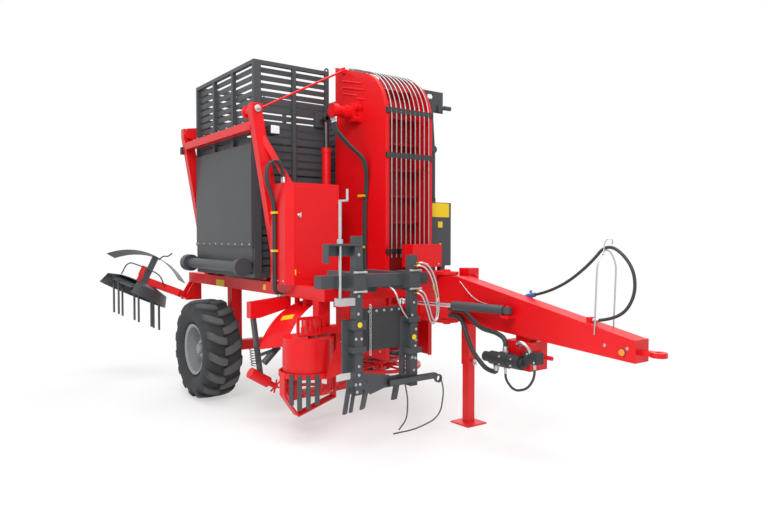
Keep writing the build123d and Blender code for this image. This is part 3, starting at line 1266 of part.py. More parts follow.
def make_lifter_frame():
    """Hangers from the chassis, the ring and keel round the lifting cage, its plates and the shaft stubs."""
    low = BEAM_TOP - BEAM_DEPTH
    ring_low, ring_high = HOOP_Z
    pieces = [tube((CAGE_X, CAGE_Y, ring_low), (CAGE_X, CAGE_Y, ring_high), HOOP_RADIUS, HOOP_RADIUS - HOOP_WALL)]
    back = CAGE_X - HOOP_RADIUS
    post_x = (back - LIFTER_POST, back + HOOP_WALL / 2)
    bridge_z = (CAGE_TOP + BRIDGE_GAP, CAGE_TOP + BRIDGE_GAP + BRIDGE_DEPTH)
    inside = CAGE_Y + HOOP_RADIUS - HOOP_WALL / 2
    leg_y = (inside, inside + LIFTER_POST / 2)
    pieces.append(box((CAGE_X - LIFTER_POST / 2, CAGE_X + LIFTER_POST), (CAGE_Y - LIFTER_POST / 2, leg_y[1]), bridge_z))
    pieces.append(box(span(CAGE_X, LIFTER_POST), leg_y, (ring_low, bridge_z[1])))
    pieces.append(box(span(CAGE_X, LIFTER_POST), span(-BEAM_Y, BEAM_WIDTH), (bridge_z[0], low)))
    shaft_low = CAGE_TOP - CAGE_SHAFT_DEPTH
    pieces.append(rod((CAGE_X, CAGE_Y, shaft_low), (CAGE_X, CAGE_Y, bridge_z[1]), CAGE_SHAFT_RADIUS))
    pieces.append(rod((CAGE_X, CAGE_Y, bridge_z[1] - 1), (CAGE_X, CAGE_Y, bridge_z[1] + 90), 1.5 * CAGE_SHAFT_RADIUS))
    # Keel under the cage: Y from the cage's axis, height
    keel = [(-HOOP_RADIUS + 8, ring_high), (-HOOP_RADIUS + 8, KEEL_SHOULDER), (-120, KEEL_Z), (HOOP_RADIUS - 8, KEEL_RISE)]
    keel.append((HOOP_RADIUS - 8, ring_high))
    for (y0, z0), (y1, z1) in zip(keel, keel[1:]):
        if y0 == y1:
            pieces.append(box(span(CAGE_X, KEEL_DEPTH), span(CAGE_Y + y0, HOOP_WALL), sorted((z0, z1))))
        else:
            pieces.append(bar((CAGE_X, CAGE_Y + y0, z0), (CAGE_X, CAGE_Y + y1, z1), KEEL_DEPTH, HOOP_WALL))
        corner = (CAGE_Y + y1, z1)
        pieces.append(rod((CAGE_X - KEEL_DEPTH / 2, *corner), (CAGE_X + KEEL_DEPTH / 2, *corner), HOOP_WALL / 2))
    arm_z = span(STAR_ARM_Z, STAR_ARM_SIZE)
    arm_start = (sum(post_x) / 2, CAGE_Y, STAR_ARM_Z)
    pieces.append(box(post_x, span(CAGE_Y, LIFTER_POST), (arm_z[0], ring_high)))
    pieces.append(bar(arm_start, (TURBINE_X, TURBINE_Y, STAR_ARM_Z), 90, STAR_ARM_SIZE))
    pieces.append(rod((TURBINE_X, TURBINE_Y, arm_z[0]), (TURBINE_X, TURBINE_Y, TURBINE_Z + 70), CAGE_SHAFT_RADIUS))
    pieces.append(rod((TURBINE_X, TURBINE_Y, arm_z[0]), (TURBINE_X, TURBINE_Y, TURBINE_Z - 46), 60))
    # Grille above the cage, in front of the bridge: two windows in a plate
    grille_x = (CAGE_X + LIFTER_POST - 1, CAGE_X + LIFTER_POST + HOOP_WALL)
    grille_y = (CAGE_Y - 175, CAGE_Y + 110)
    grille = box(grille_x, grille_y, (bridge_z[0], bridge_z[1] + 110))
    for low_y in (grille_y[0] + 25, grille_y[0] + 155):
        for shift in (0, 40, 80):
            slot_y = (low_y + shift, low_y + shift + 25)
            grille -= box(grille_x, slot_y, (bridge_z[0] + 20, bridge_z[1] + 85))
    pieces.append(grille)
    # Shield at the cage's left, on a hanger from the front cross member
    plate_x = (CAGE_X + HOOP_RADIUS + HOOP_WALL, CAGE_X + HOOP_RADIUS + HOOP_WALL + 10)
    shield = [(CAGE_Y, 546), (CAGE_Y + 290, 600), (CAGE_Y + 290, 870), (CAGE_Y + 125, 838)]
    pieces.append(prism("x", shield, *plate_x))
    shield_x = (BEAM_FRONT_X - CROSS_WIDTH, plate_x[1] + 12)
    pieces.append(box(shield_x, (CAGE_Y + 230, CAGE_Y + 290), (low - 60, low)))
    pieces.append(box((plate_x[0], plate_x[1] + 12), (CAGE_Y + 230, CAGE_Y + 290), (840, low)))
    # Bracket under the right beam for the side struts
    side_x = span(STRUT_X, 90)
    bracket = [
        (-BEAM_Y, low),
        (-BEAM_Y - 420, low - 40),
        (-BEAM_Y - 420, STRUT_TOP),
        (-BEAM_Y - 330, STRUT_TOP),
        (-BEAM_Y, STRUT_TOP + 80),
    ]
    pieces.append(prism("x", bracket, *side_x))
    return join(pieces)


def make_lifter_bars():
    """Dark flat bars in front of the cage, and the two struts with their roller at the right."""
    ring_low = HOOP_Z[0]
    radius = HOOP_RADIUS + BAR_THICKNESS / 2
    bars = []
    # Front bars: angle from straight ahead towards the right, height of the foot
    for angle, foot in ((62, 330), (46, 290), (30, 300), (14, 340)):
        x = CAGE_X + radius * cos(radians(angle))
        y = CAGE_Y - radius * sin(radians(angle))
        flat = box(span(0, BAR_THICKNESS), span(0, BAR_WIDTH), (foot, HOOP_Z[1]))
        bars.append(Location((x, y, 0), (0, 0, -angle)) * flat)
    strut_top = (STRUT_X, -BEAM_Y - 375, STRUT_TOP - SEAT_LEAN)
    strut_foot = (STRUT_X, -BEAM_Y - 300, 420)
    strut = bar(strut_top, strut_foot, STRUT_WIDTH, STRUT_WIDTH / 2)
    second = bar((STRUT_X, -BEAM_Y - 320, 640), (STRUT_X + 130, -BEAM_Y - 230, 700), STRUT_WIDTH / 2, STRUT_WIDTH / 2)
    roller = rod((STRUT_X + 130, -BEAM_Y - 330, 590), (STRUT_X + 130, -BEAM_Y - 180, 730), STRUT_WIDTH / 2)
    return Compound([*bars, join([strut, second, roller])])


def make_lifter_motor():
    """Inclined motor on the strut's foot, with a small claw below it."""
    foot = Vector(STRUT_X, -BEAM_Y - 300, 420)
    along = Vector(0, 0.85, -0.53).normalized()
    start = foot - along * 130
    body = rod(tuple(start), tuple(foot + along * 90), MOTOR_RADIUS)
    neck = rod(tuple(foot), tuple(foot + along * 190), MOTOR_RADIUS / 2)
    strut = bar((STRUT_X, -BEAM_Y - 375, STRUT_TOP - SEAT_LEAN), tuple(foot), STRUT_WIDTH, STRUT_WIDTH / 2)
    pieces = [body, neck]
    tip = foot + along * 180
    for angle in around(6):
        out = Vector(1, 0, 0) * cos(angle) + Vector(0, 0.53, 0.85) * sin(angle)
        pieces.append(rod(tuple(tip), tuple(tip + out * 70), 9))
    return join(pieces) - strut


def make_cage():
    """Lifting cage: a drum with bars hanging round it, turning on an upright shaft."""
    pieces = [rod((CAGE_X, CAGE_Y, CAGE_DRUM_BOTTOM), (CAGE_X, CAGE_Y, CAGE_TOP), CAGE_RADIUS)]
    reach = CAGE_RADIUS - 2 * CAGE_BAR_RADIUS
    for angle in around(CAGE_BARS):
        x = CAGE_X + reach * cos(angle)
        y = CAGE_Y + reach * sin(angle)
        pieces.append(rod((x, y, CAGE_BAR_BOTTOM), (x, y, CAGE_DRUM_BOTTOM + 10), CAGE_BAR_RADIUS))
    ring = ((CAGE_X, CAGE_Y, CAGE_BAR_BOTTOM), (CAGE_X, CAGE_Y, CAGE_BAR_BOTTOM + 2 * CAGE_BAR_RADIUS))
    pieces.append(tube(*ring, reach + CAGE_BAR_RADIUS, reach - CAGE_BAR_RADIUS))
    bore_low = CAGE_TOP - CAGE_SHAFT_DEPTH - 1
    bore = rod((CAGE_X, CAGE_Y, bore_low), (CAGE_X, CAGE_Y, CAGE_TOP), CAGE_SHAFT_RADIUS + PIN_GAP)
    return join(pieces) - bore


def make_turbine():
    """Cleaning star: a spoked ring that turns flat under the elevator's foot."""
    z = TURBINE_Z
    hub = rod((TURBINE_X, TURBINE_Y, z - 45), (TURBINE_X, TURBINE_Y, z + 45), 70)
    ring = tube((TURBINE_X, TURBINE_Y, z - 15), (TURBINE_X, TURBINE_Y, z + 15), TURBINE_RADIUS, TURBINE_RADIUS - 30)
    pieces = [hub, ring]
    for angle in around(TURBINE_SPOKES):
        reach = TURBINE_RADIUS - 10
        end = (TURBINE_X + reach * cos(angle), TURBINE_Y + reach * sin(angle), z)
        pieces.append(rod((TURBINE_X, TURBINE_Y, z), end, 11))
    bore = rod((TURBINE_X, TURBINE_Y, z - 46), (TURBINE_X, TURBINE_Y, z + 46), CAGE_SHAFT_RADIUS + PIN_GAP)
    return join(pieces) - bore


def make_hood():
    """Curved shield on the right, over the lifting unit, set at a slant and hung under the beam."""
    low = BEAM_TOP - BEAM_DEPTH
    centre = Vector(HOOD_FRONT_X, HOOD_CENTRE_Y, HOOD_CENTRE_Z)
    angles = (0, (90 - HOOD_LOW_ANGLE) / 2, 90 - HOOD_LOW_ANGLE)
    arcs = []
    for radius in (HOOD_RADIUS, HOOD_RADIUS - HOOD_THICKNESS):
        arcs.append([centre + Vector(0, -sin(radians(a)), cos(radians(a))) * radius for a in angles])
    edges = [Edge.make_three_point_arc(*arc) for arc in arcs]
    edges += [Edge.make_line(arcs[0][0], arcs[1][0]), Edge.make_line(arcs[0][2], arcs[1][2])]
    shield = Solid.extrude(Face(Wire(edges)), Vector(*HOOD_SLANT))
    lugs = []
    for share in (0.25, 0.75):
        x = HOOD_FRONT_X + share * HOOD_SLANT[0]
        y = -BEAM_Y + 20
        lean = HOOD_CENTRE_Y + share * HOOD_SLANT[1]
        height = HOOD_CENTRE_Z + share * HOOD_SLANT[2] + (HOOD_RADIUS**2 - (y - lean) ** 2) ** 0.5
        lugs.append(box(span(x, 50), span(y, 30), (height - HOOD_THICKNESS, low)))
    return join([shield, *lugs])


# Leaf cleaner


def make_cleaner_bracket():
    """Hanger on the chassis with the pin that the leaf cleaner's arm swings on."""
    low = BEAM_TOP - BEAM_DEPTH
    ends = span(CLEANER_HINGE_X, CLEANER_HINGE_SPAN)
    pieces = []
    outline = [
        (CLEANER_HINGE_Y - EYE_RADIUS, CLEANER_HINGE_Z - EYE_RADIUS),
        (-BEAM_Y + 40, CLEANER_HINGE_Z - EYE_RADIUS),
        (-BEAM_Y + 40, low),
        (-BEAM_Y - BEAM_WIDTH / 2, low),
        (CLEANER_HINGE_Y - EYE_RADIUS, CLEANER_HINGE_Z + EYE_RADIUS / 2),
    ]
    for x in ends:
        pieces.append(prism("x", outline, *span(x, CLEANER_CHEEK)))
    pin = ((ends[0] - 20, CLEANER_HINGE_Y, CLEANER_HINGE_Z), (ends[1] + 20, CLEANER_HINGE_Y, CLEANER_HINGE_Z))
    pieces.append(rod(*pin, EYE_PIN_RADIUS))
    return join(pieces)


def cleaner_place(shape):
    """A shape of the leaf cleaner, drawn level, at its tilted place on the hinge."""
    hinge = Pos(CLEANER_HINGE_X, CLEANER_HINGE_Y, CLEANER_HINGE_Z)
    return hinge * Rot(-CLEANER_TILT, 0, 0) * shape


def cleaner_point(x, y, z):
    """A point given from the hinge on the level cleaner, at its tilted place."""
    lean = radians(CLEANER_TILT)
    return (
        CLEANER_HINGE_X + x,
        CLEANER_HINGE_Y + y * cos(lean) + z * sin(lean),
        CLEANER_HINGE_Z - y * sin(lean) + z * cos(lean),
    )


def make_cleaner_arm():
    """Arm with its hinge barrel, the motor over the rotor and the rotor's stub shaft."""
    half = CLEANER_HINGE_SPAN / 2 - CLEANER_CHEEK / 2 - RUN_GAP
    x, y = CLEANER_OUT
    barrel = rod((-half, 0, 0), (half, 0, 0), EYE_RADIUS)
    bore = rod((-half, 0, 0), (half, 0, 0), EYE_PIN_RADIUS + PIN_GAP)
    elbow_y = cleaner_elbow()
    knuckle = box((-half, half), (elbow_y - 20, 0), span(0, 1.6 * EYE_RADIUS))
    arm = bar((0, elbow_y, 0), (x, y, 0), CLEANER_ARM_SIZE, CLEANER_ARM_SIZE)
    shaft = rod((x, y, CLEANER_HUB_DROP - 80), (x, y, 0), CAGE_SHAFT_RADIUS)
    cap = rod((x, y, -CLEANER_ARM_SIZE / 2), (x, y, CLEANER_ARM_SIZE / 2), CLEANER_ARM_SIZE / 2)
    motor = rod((x, y, CLEANER_ARM_SIZE / 2 - 1), (x, y, CLEANER_ARM_SIZE / 2 + 120), 55)
    return cleaner_place(join([barrel, knuckle, arm, shaft, cap, motor]) - bore)


def make_cleaner_hood():
    """Dished hood over the rotor in two lobes, open towards the front, on the arm's underside."""
    x, y = CLEANER_OUT
    top = -CLEANER_ARM_SIZE / 2
    profile = [
        (CAGE_SHAFT_RADIUS + SEAT_GAP, top),
        (CLEANER_RADIUS * 0.55, top),
        (CLEANER_RADIUS * 0.9, top - 45),
        (CLEANER_RADIUS, top - CLEANER_SKIRT),
        (CLEANER_RADIUS - SHEET, top - CLEANER_SKIRT),
        (CLEANER_RADIUS * 0.9 - SHEET, top - 45 - SHEET),
        (CLEANER_RADIUS * 0.55 - SHEET, top - SHEET),
        (CAGE_SHAFT_RADIUS + SEAT_GAP, top - SHEET),
    ]
    face = Face(Wire.make_polygon([(r, 0, z) for r, z in profile], close=True))
    dish = revolve(face, Axis.Z, 360)
    notch = [(0, 0)]
    for angle in CLEANER_NOTCH:
        notch.append((2 * CLEANER_RADIUS * cos(radians(angle)), 2 * CLEANER_RADIUS * sin(radians(angle))))
    inner = rod((0, 0, top - 2 * CLEANER_SKIRT), (0, 0, top + 1), CLEANER_RADIUS * 0.6)
    cut = prism("z", notch, top - 2 * CLEANER_SKIRT, top + 1) - inner
    return cleaner_place(Pos(x, y, 0) * (dish - cut))


def make_cleaner_guard():
    """Domed guard sheet over the rotor, with its slots, stand and hand grip, and the tube hoop in front."""
    x, y = CLEANER_OUT
    elbow_y = cleaner_elbow()
    long = (x**2 + (y - elbow_y) ** 2) ** 0.5
    turn = degrees(atan2(y - elbow_y, x))
    seat = CLEANER_ARM_SIZE / 2
    # Drawn along the arm: way out from its elbow, height over its middle
    near = Vector(long - GUARD_REACH, 0, GUARD_EDGE)
    top = Vector(long, 0, GUARD_TOP)
    far = Vector(long + GUARD_REACH, 0, GUARD_EDGE)
    drop = Vector(0, 0, -SHEET)
    edges = [
        Edge.make_three_point_arc(near, top, far),
        Edge.make_three_point_arc(near + drop, top + drop, far + drop),
        Edge.make_line(near, near + drop),
        Edge.make_line(far, far + drop),
    ]
    sheet = Pos(0, -GUARD_WIDTH / 2, 0) * Solid.extrude(Face(Wire(edges)), Vector(0, GUARD_WIDTH, 0))
    pitch = GUARD_WIDTH / (GUARD_SLOTS + 1)
    for index in range(GUARD_SLOTS):
        slot_y = span((index + 1) * pitch - GUARD_WIDTH / 2, pitch / 2)
        sheet -= box((long - 0.62 * GUARD_REACH, long - 0.34 * GUARD_REACH), slot_y, (0, GUARD_TOP))
    stand_y = CLEANER_ARM_SIZE / 2 + SHEET
    stand = box(span(long - 90, 90), (CLEANER_ARM_SIZE / 2, stand_y), (-seat, GUARD_TOP - 2 * SHEET))
    grip = [
        (long - 120, 0, GUARD_TOP - 30),
        (long - 150, 0, GUARD_TOP + 40),
        (long - 230, 20, GUARD_TOP + 50),
        (long - 270, 30, GUARD_TOP + 110),
    ]
    hoop_z = seat + 90
    hoop = [
        (long + 170, 170, 3 - seat),
        (long + 160, 180, hoop_z),
        (long - 100, 200, hoop_z),
        (long - 330, 170, hoop_z - 20),
        (long - 380, seat + 9, seat - 30),
    ]
    tie = box(span(long - 90, 20), (stand_y - 1, 200), span(hoop_z, 14))
    shape = join([sheet, stand, hose(grip, GRIP_RADIUS), hose(hoop, GRIP_RADIUS), tie])
    return cleaner_place(Pos(0, elbow_y, 0) * Rot(0, 0, turn) * shape)


def cleaner_elbow():
    """Y from the hinge to where the cleaner's arm starts."""
    return -EYE_RADIUS - CLEANER_ARM_SIZE / 2


def make_cleaner_rotor():
    """Hub disc with straps that hang plumb, turning on the arm's stub shaft."""
    x, y = CLEANER_OUT
    disc = rod((x, y, CLEANER_HUB_DROP - 30), (x, y, CLEANER_HUB_DROP), CLEANER_DISC_RADIUS)
    hub = rod((x, y, CLEANER_HUB_DROP - 70), (x, y, CLEANER_HUB_DROP + 30), 60)
    pieces = [disc, hub]
    lean = radians(CLEANER_TILT)
    for angle in around(CLEANER_STRAPS, pi / CLEANER_STRAPS):
        reach = CLEANER_DISC_RADIUS - STRAP_SIZE[1]
        start = (x + reach * cos(angle), y + reach * sin(angle), CLEANER_HUB_DROP - 15)
        end = (start[0], start[1] + STRAP_LENGTH * sin(lean), start[2] - STRAP_LENGTH * cos(lean))
        pieces.append(bar(start, end, *STRAP_SIZE))
    bore_z = (CLEANER_HUB_DROP - 81, CLEANER_HUB_DROP + 31)
    bore = rod((x, y, bore_z[0]), (x, y, bore_z[1]), CAGE_SHAFT_RADIUS + PIN_GAP)
    return cleaner_place(join(pieces) - bore)


def make_tank_hoses():
    """Two hoses from the oil cabinet's top, looped over its right side and led down to the beam."""
    side = CABINET_Y[0] - TANK_HOSE_RADIUS
    hoses = []
    for shift in (0, 2 * TANK_HOSE_RADIUS + 1):
        x = TANK_HOSE_X + shift
        points = [
            (x, CABINET_Y[0] + 80, CABINET_TOP),
            (x, CABINET_Y[0] + 80, CABINET_TOP + 140),
            (x, CABINET_Y[0] + 15, CABINET_TOP + 235),
            (x, CABINET_Y[0] - 85, CABINET_TOP + 180),
            (x, CABINET_Y[0] - 100, CABINET_TOP + 30),
            (x, CABINET_Y[0] - 35, CABINET_TOP - 130),
            (x, side, CABINET_TOP - 260),
            (x, side - 1, BEAM_TOP + 200),
            (x, side - 1, BEAM_TOP - 75),
            (x, -BEAM_Y - BEAM_WIDTH / 2 - 6, BEAM_TOP - 110),
        ]
        hoses.append(hose(points, TANK_HOSE_RADIUS))
    return Compound(hoses)


def make_elevator_hoses():
    """Three hoses from the elevator's drive motor, gathered and led down the side plate."""
    y = ELEVATOR_RIGHT_Y
    motor_y = y - DRIVE_LENGTH + 30
    cap = DRIVE_PLATE / 3
    low = web_top() - cap
    hoses = []
    for index in range(3):
        side = (index - 1) * 34
        near = max(abs(side) - DRIVE_HOSE_RADIUS, 0)
        start = web_top() - (cap**2 - near**2) ** 0.5
        rest = y - DRIVE_HOSE_RADIUS - 1
        end_x = WEB_MIDDLE_X + 150 + index * 2 * DRIVE_HOSE_RADIUS
        points = [
            (WEB_MIDDLE_X + side, motor_y, start),
            (WEB_MIDDLE_X + side, motor_y, low - 110),
            (end_x - 60, y - 160, low - 280),
            (end_x + 60, rest - 30, low - 430),
            (end_x + 40, rest, low - 640),
            (end_x, rest, low - 860),
            (end_x, rest - 2, BEAM_TOP + 30),
        ]
        hoses.append(hose(points, DRIVE_HOSE_RADIUS))
    return Compound(hoses)


def make_drawbar_hoses():
    """Two thick hoses from the drawbar's right side to the pumps, and a thin one looped to the valve box."""
    side = PIVOT_Y - DRAWBAR_WIDTH / 2 - BUNDLE_RADIUS
    y = pump_y()
    top = PUMP_AXIS_Z + PUMP_RADIUS
    middle_bottom = PUMP_AXIS_Z - PUMP_RADIUS
    rear_bottom = PUMP_AXIS_Z - PUMP_REAR_RADIUS
    rise = beam_bottom(PIVOT_X + 260)
    upper = [
        (PIVOT_X + 150, side, rise + 110),
        (PIVOT_X + 330, side, rise + 115),
        (PIVOT_X + 600, y + 10, top + 160),
        (PUMP_X - 170, y, top + 145),
        (PUMP_X - 70, y, top + 105),
        (PUMP_X - 70, y, top),
    ]
    lower = [
        (PIVOT_X + 150, side, rise + 50),
        (PIVOT_X + 300, side, rise + 45),
        (PIVOT_X + 500, y + 15, 770),
        (PUMP_X - 290, y, 650),
        (PUMP_X - 170, y, 640),
        (PUMP_X - 170, y, rear_bottom),
    ]
    loop = [
        (PUMP_X - 70, y, middle_bottom),
        (PUMP_X - 70, y, 600),
        (PUMP_X + 20, y + 5, 520),
        (PUMP_X + 150, y + 15, 560),
        (PUMP_X + 215, y + 20, 660),
        (PUMP_X + 215, y + 20, PUMP_Z - 30),
    ]
    return Compound([hose(upper, BUNDLE_RADIUS), hose(lower, BUNDLE_RADIUS), hose(loop, BUNDLE_RADIUS / 2)])


def pump_y():
    """Y of the tandem pumps' axis, which lie against the gearbox's right side."""
    return PIVOT_Y - PUMP_BOX[1] / 2 - PUMP_RADIUS


def make_hose_holder():
    """Bent wire that stands over the drawbar and carries the tractor's hose loop."""
    side = DRAWBAR_WIDTH / 2 + HOLDER_WIRE
    foot = beam_top(HOLDER_X) - 60
    points = [
        (HOLDER_X, PIVOT_Y - side, foot),
        (HOLDER_X + 20, PIVOT_Y - side, HOLDER_TOP - 120),
        (HOLDER_X + 40, PIVOT_Y - HOLDER_WIRE, HOLDER_TOP),
        (HOLDER_X + 60, PIVOT_Y + side, HOLDER_TOP - 120),
        (HOLDER_X + 40, PIVOT_Y + side, foot),
    ]
    return hose(points, HOLDER_WIRE)


def make_loop_hose():
    """Hose to the tractor: out of a clip on the drawbar's left, over the holder and back to its fitting."""
    radii = hose_bends(LOOP_POINTS)
    print("loop hose bends", [round(radius) for radius in radii])
    return hose(LOOP_POINTS, LOOP_RADIUS)


def make_tensioner():
    """Plate with two oval holes, swing arm and cylinder at the elevator's left, and the lever above the arch."""
    y = ELEVATOR_LEFT_Y
    x = TENSION_X
    plate = box((x, x + LUG_THICKNESS / 2), (y, y + TENSION_REACH), (TENSION_Z - 230, TENSION_Z))
    for drop in (60, 150):
        middle = (y + TENSION_REACH * 0.62, TENSION_Z - drop)
        for shift in (-14, 14):
            centre = (middle[0] + shift, middle[1])
            plate -= rod((x - 1, *centre), (x + LUG_THICKNESS, *centre), 26)
    arm_top = (x + 40, y + TENSION_REACH * 0.55, TENSION_Z - 190)
    arm_low = (x + 40, y + TENSION_REACH * 0.62, TENSION_Z - 640)
    knuckle = rod((x, *arm_top[1:]), (x + 80, *arm_top[1:]), 55)
    arm = bar(arm_top, arm_low, 60, 40)
    eye = rod((x, *arm_low[1:]), (x + 80, *arm_low[1:]), 40)
    barrel = rod(arm_low, (x + 40, arm_low[1], VALVE_BOX_Z[1] + 60), TENSION_BARREL)
    stand = box(span(x + 40, 60), span(arm_low[1], 60), (BEAM_TOP, VALVE_BOX_Z[1] + 61))
    foot = box(span(x + 40, 60), (BEAM_Y - BEAM_WIDTH / 2, arm_low[1] + 30), (BEAM_TOP, BEAM_TOP + 40))
    knob = rod((x + 30, y + TENSION_REACH, TENSION_Z - 170), (x + 30, y + TENSION_REACH + 90, TENSION_Z - 170), 24)
    knob_arm = rod((x + 30, y + TENSION_REACH - 60, TENSION_Z - 170), (x + 30, y + TENSION_REACH + 1, TENSION_Z - 170), 14)
    knob_post = box((x + 10, x + 50), span(y + TENSION_REACH - 70, 40), (TENSION_Z - 220, TENSION_Z - 150))
    return join([plate, knuckle, arm, eye, barrel, stand, foot, knob, knob_arm, knob_post])


def make_lamps():
    """Work lamps: one beside the front post, one behind the rear post."""
    front, rear = post_planes()
    wide, high = LAMP_SIZE
    head = box((front[0], front[1] + LAMP_DEPTH), span(LAMP_Y, wide), span(LAMP_Z, high))
    bracket_y = (post_inner_y(LAMP_Z - LUG_THICKNESS / 2), LAMP_Y)
    bracket = box(span(sum(front) / 2, LUG_THICKNESS), bracket_y, span(LAMP_Z, LUG_THICKNESS))
    rear_lamp = box((rear[0] - LAMP_DEPTH, rear[0]), span(TIP_PIVOT_Y, wide), span(LAMP_Z, high))
    return Compound([join([head, bracket]), rear_lamp])


def make_all():
    """Every node's shape, measured from the ground under the axle."""
    nodes = {
        "chassis_frame": make_chassis(),
        "axle_beam": make_axle(),
        "portal_frame": make_portal(),
        "oil_cabinet": make_cabinet(),
        "valve_cabinet": make_valve_box(),
        "toolbox": make_toolbox(),
        "elevator_housing": make_elevator_housing(),
        "elevator_web": make_elevator_web(),
        "elevator_guard": make_elevator_guard(),
        "elevator_drive": make_elevator_drive(),
        "elevator_hoses": make_elevator_hoses(),
        "elevator_tensioner": make_tensioner(),
        "tank_hoses": make_tank_hoses(),
        "topper_frame": make_topper_frame(),
        "topper_spindle": make_topper_spindle(),
        "topper_curtain": make_curtain(),
        "row_feelers": make_feelers(),
        "lifter_frame": make_lifter_frame(),
        "lifter_hood": make_hood(),
        "lifter_bars": make_lifter_bars(),
        "lifter_motor": make_lifter_motor(),
        "cleaner_bracket": make_cleaner_bracket(),
        "work_lamps": make_lamps(),
        "lifting_cage": make_cage(),
        "cleaning_star": make_turbine(),
        "cleaner_arm": make_cleaner_arm(),
        "cleaner_hood": make_cleaner_hood(),
        "cleaner_guard": make_cleaner_guard(),
        "cleaner_rotor": make_cleaner_rotor(),
        "bunker_floor": make_bunker_floor(),
        "bunker_side_panel": make_side_panel(),
        "bunker_roller": make_roller(),
        "tip_arms": make_tip_arms(),
        "tip_barrels": make_tip_barrels(),
        "tip_rods": make_tip_rods(),
        "drawbar_beam": make_drawbar(),
        "hitch_eye": make_hitch(),
        "drive_gearbox": make_gearbox(),
        "drive_pump": make_pump(),
        "drawbar_hoses": make_drawbar_hoses(),
        "hose_holder": make_hose_holder(),
        "loop_hose": make_loop_hose(),
        "steer_barrel": make_steer_barrel(),
        "steer_rod": make_steer_rod(),
        "jack_sleeve": make_jack_sleeve(),
        "jack_leg": make_jack_leg(),
    }
    nodes.update(make_bunker_walls())
    for name, side in (("right", -1), ("left", 1)):
        nodes[f"tyre_{name}"] = make_tyre(side)
        nodes[f"rim_{name}"] = make_rim(side)
    return nodes


def origin_shift(nodes):
    """Move that brings the middle of the footprint to the origin."""
    boxes = [shape.bounding_box() for shape in nodes.values()]
    low_x = min(b.min.X for b in boxes)
    high_x = max(b.max.X for b in boxes)
    low_y = min(b.min.Y for b in boxes)
    high_y = max(b.max.Y for b in boxes)
    low_z = min(b.min.Z for b in boxes)
    return (-(low_x + high_x) / 2, -(low_y + high_y) / 2, -low_z)


def main():
    os.makedirs("parts", exist_ok=True)
    nodes = make_all()
    shift = origin_shift(nodes)
    print("shift", [round(value, 3) for value in shift])
    for name, shape in nodes.items():
        export_step(Pos(*shift) * shape, f"parts/{name}.step")


if __name__ == "__main__":
    main()
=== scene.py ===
# %% [markdown]
# # A trailed sugar beet harvester
# The machine's metal is already built as solids at their real size, and this lesson dresses it.
# We load those solids as a fixed frame, put a camera where the photographer stood, and then give every
# piece its finish and its small parts: tyres, bolts, clamps, hoses, lamps and springs. Lengths are in
# metres, +X points forward along the drawbar, +Y to the left and +Z up.

import json
import math

import bmesh
import bpy
from mathutils import Matrix, Vector


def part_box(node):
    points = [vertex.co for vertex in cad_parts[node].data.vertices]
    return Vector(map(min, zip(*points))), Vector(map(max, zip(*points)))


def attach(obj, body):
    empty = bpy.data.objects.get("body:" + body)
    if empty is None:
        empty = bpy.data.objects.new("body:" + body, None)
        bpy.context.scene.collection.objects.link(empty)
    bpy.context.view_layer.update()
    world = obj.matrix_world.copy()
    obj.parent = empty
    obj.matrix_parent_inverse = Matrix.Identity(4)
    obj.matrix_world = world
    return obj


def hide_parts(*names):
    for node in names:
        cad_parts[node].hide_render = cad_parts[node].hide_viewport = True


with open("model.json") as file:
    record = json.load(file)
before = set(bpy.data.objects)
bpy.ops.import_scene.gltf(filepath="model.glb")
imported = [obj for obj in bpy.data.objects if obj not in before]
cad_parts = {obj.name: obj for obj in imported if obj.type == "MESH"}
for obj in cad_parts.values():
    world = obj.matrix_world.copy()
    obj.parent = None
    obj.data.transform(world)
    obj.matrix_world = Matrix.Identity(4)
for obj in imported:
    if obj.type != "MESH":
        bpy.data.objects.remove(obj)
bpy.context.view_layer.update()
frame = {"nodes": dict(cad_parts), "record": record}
nodes = frame["nodes"]


def short(values):
    """Lengths cut to millimetres, for printing."""
    return [round(value, 3) for value in values]


# %% [markdown]
# ## Places and the camera
# Every small part below has a place on the machine, measured from the ground under the middle of the axle.
# The right tyre's solid tells where that is in the frame, so nothing drifts if the frame's origin moves.
# A product photograph like this is taken from head height with a moderate wide lens. The camera could be
# set by eye, but the machine's straight edges give its place: they were traced to their vanishing points.

# %% Place the camera
IMAGE_WIDTH = 768  # pixels
FOCAL_PIXELS = 645
HORIZON_RISE = 18  # pixels from the image's middle up to the horizon
SENSOR_WIDTH = 36  # millimetres
VIEW_DEPTH = 200
CAMERA_PLACE = (6.867, -3.758, 1.75)
CAMERA_LOOK = Vector((-0.804, 0.595, 0))
HALF_TRACK = 1.1  # from the machine's middle to the middle of a tyre

tyre_low, tyre_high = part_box("tyre_right")
AXLE_HEIGHT = (tyre_low.z + tyre_high.z) / 2
ground_middle = Vector(((tyre_low.x + tyre_high.x) / 2, (tyre_low.y + tyre_high.y) / 2 + HALF_TRACK, 0))


def spot(x, y, z):
    """A place in the frame, given from the ground under the middle of the axle."""
    return ground_middle + Vector((x, y, z))


pitch = math.atan(HORIZON_RISE / FOCAL_PIXELS)
look = CAMERA_LOOK.normalized() * math.cos(pitch) - Vector((0, 0, math.sin(pitch)))
camera_data = bpy.data.cameras.new("photo_camera")
camera_data.sensor_width = SENSOR_WIDTH
camera_data.lens = SENSOR_WIDTH * FOCAL_PIXELS / IMAGE_WIDTH
camera_data.clip_end = VIEW_DEPTH
camera = bpy.data.objects.new("photo_camera", camera_data)
bpy.context.scene.collection.objects.link(camera)
camera.location = spot(*CAMERA_PLACE)
camera.rotation_euler = look.to_track_quat("-Z", "Y").to_euler()
bpy.context.scene.camera = camera
print("camera", short(camera.location), "lens", round(camera_data.lens, 2))

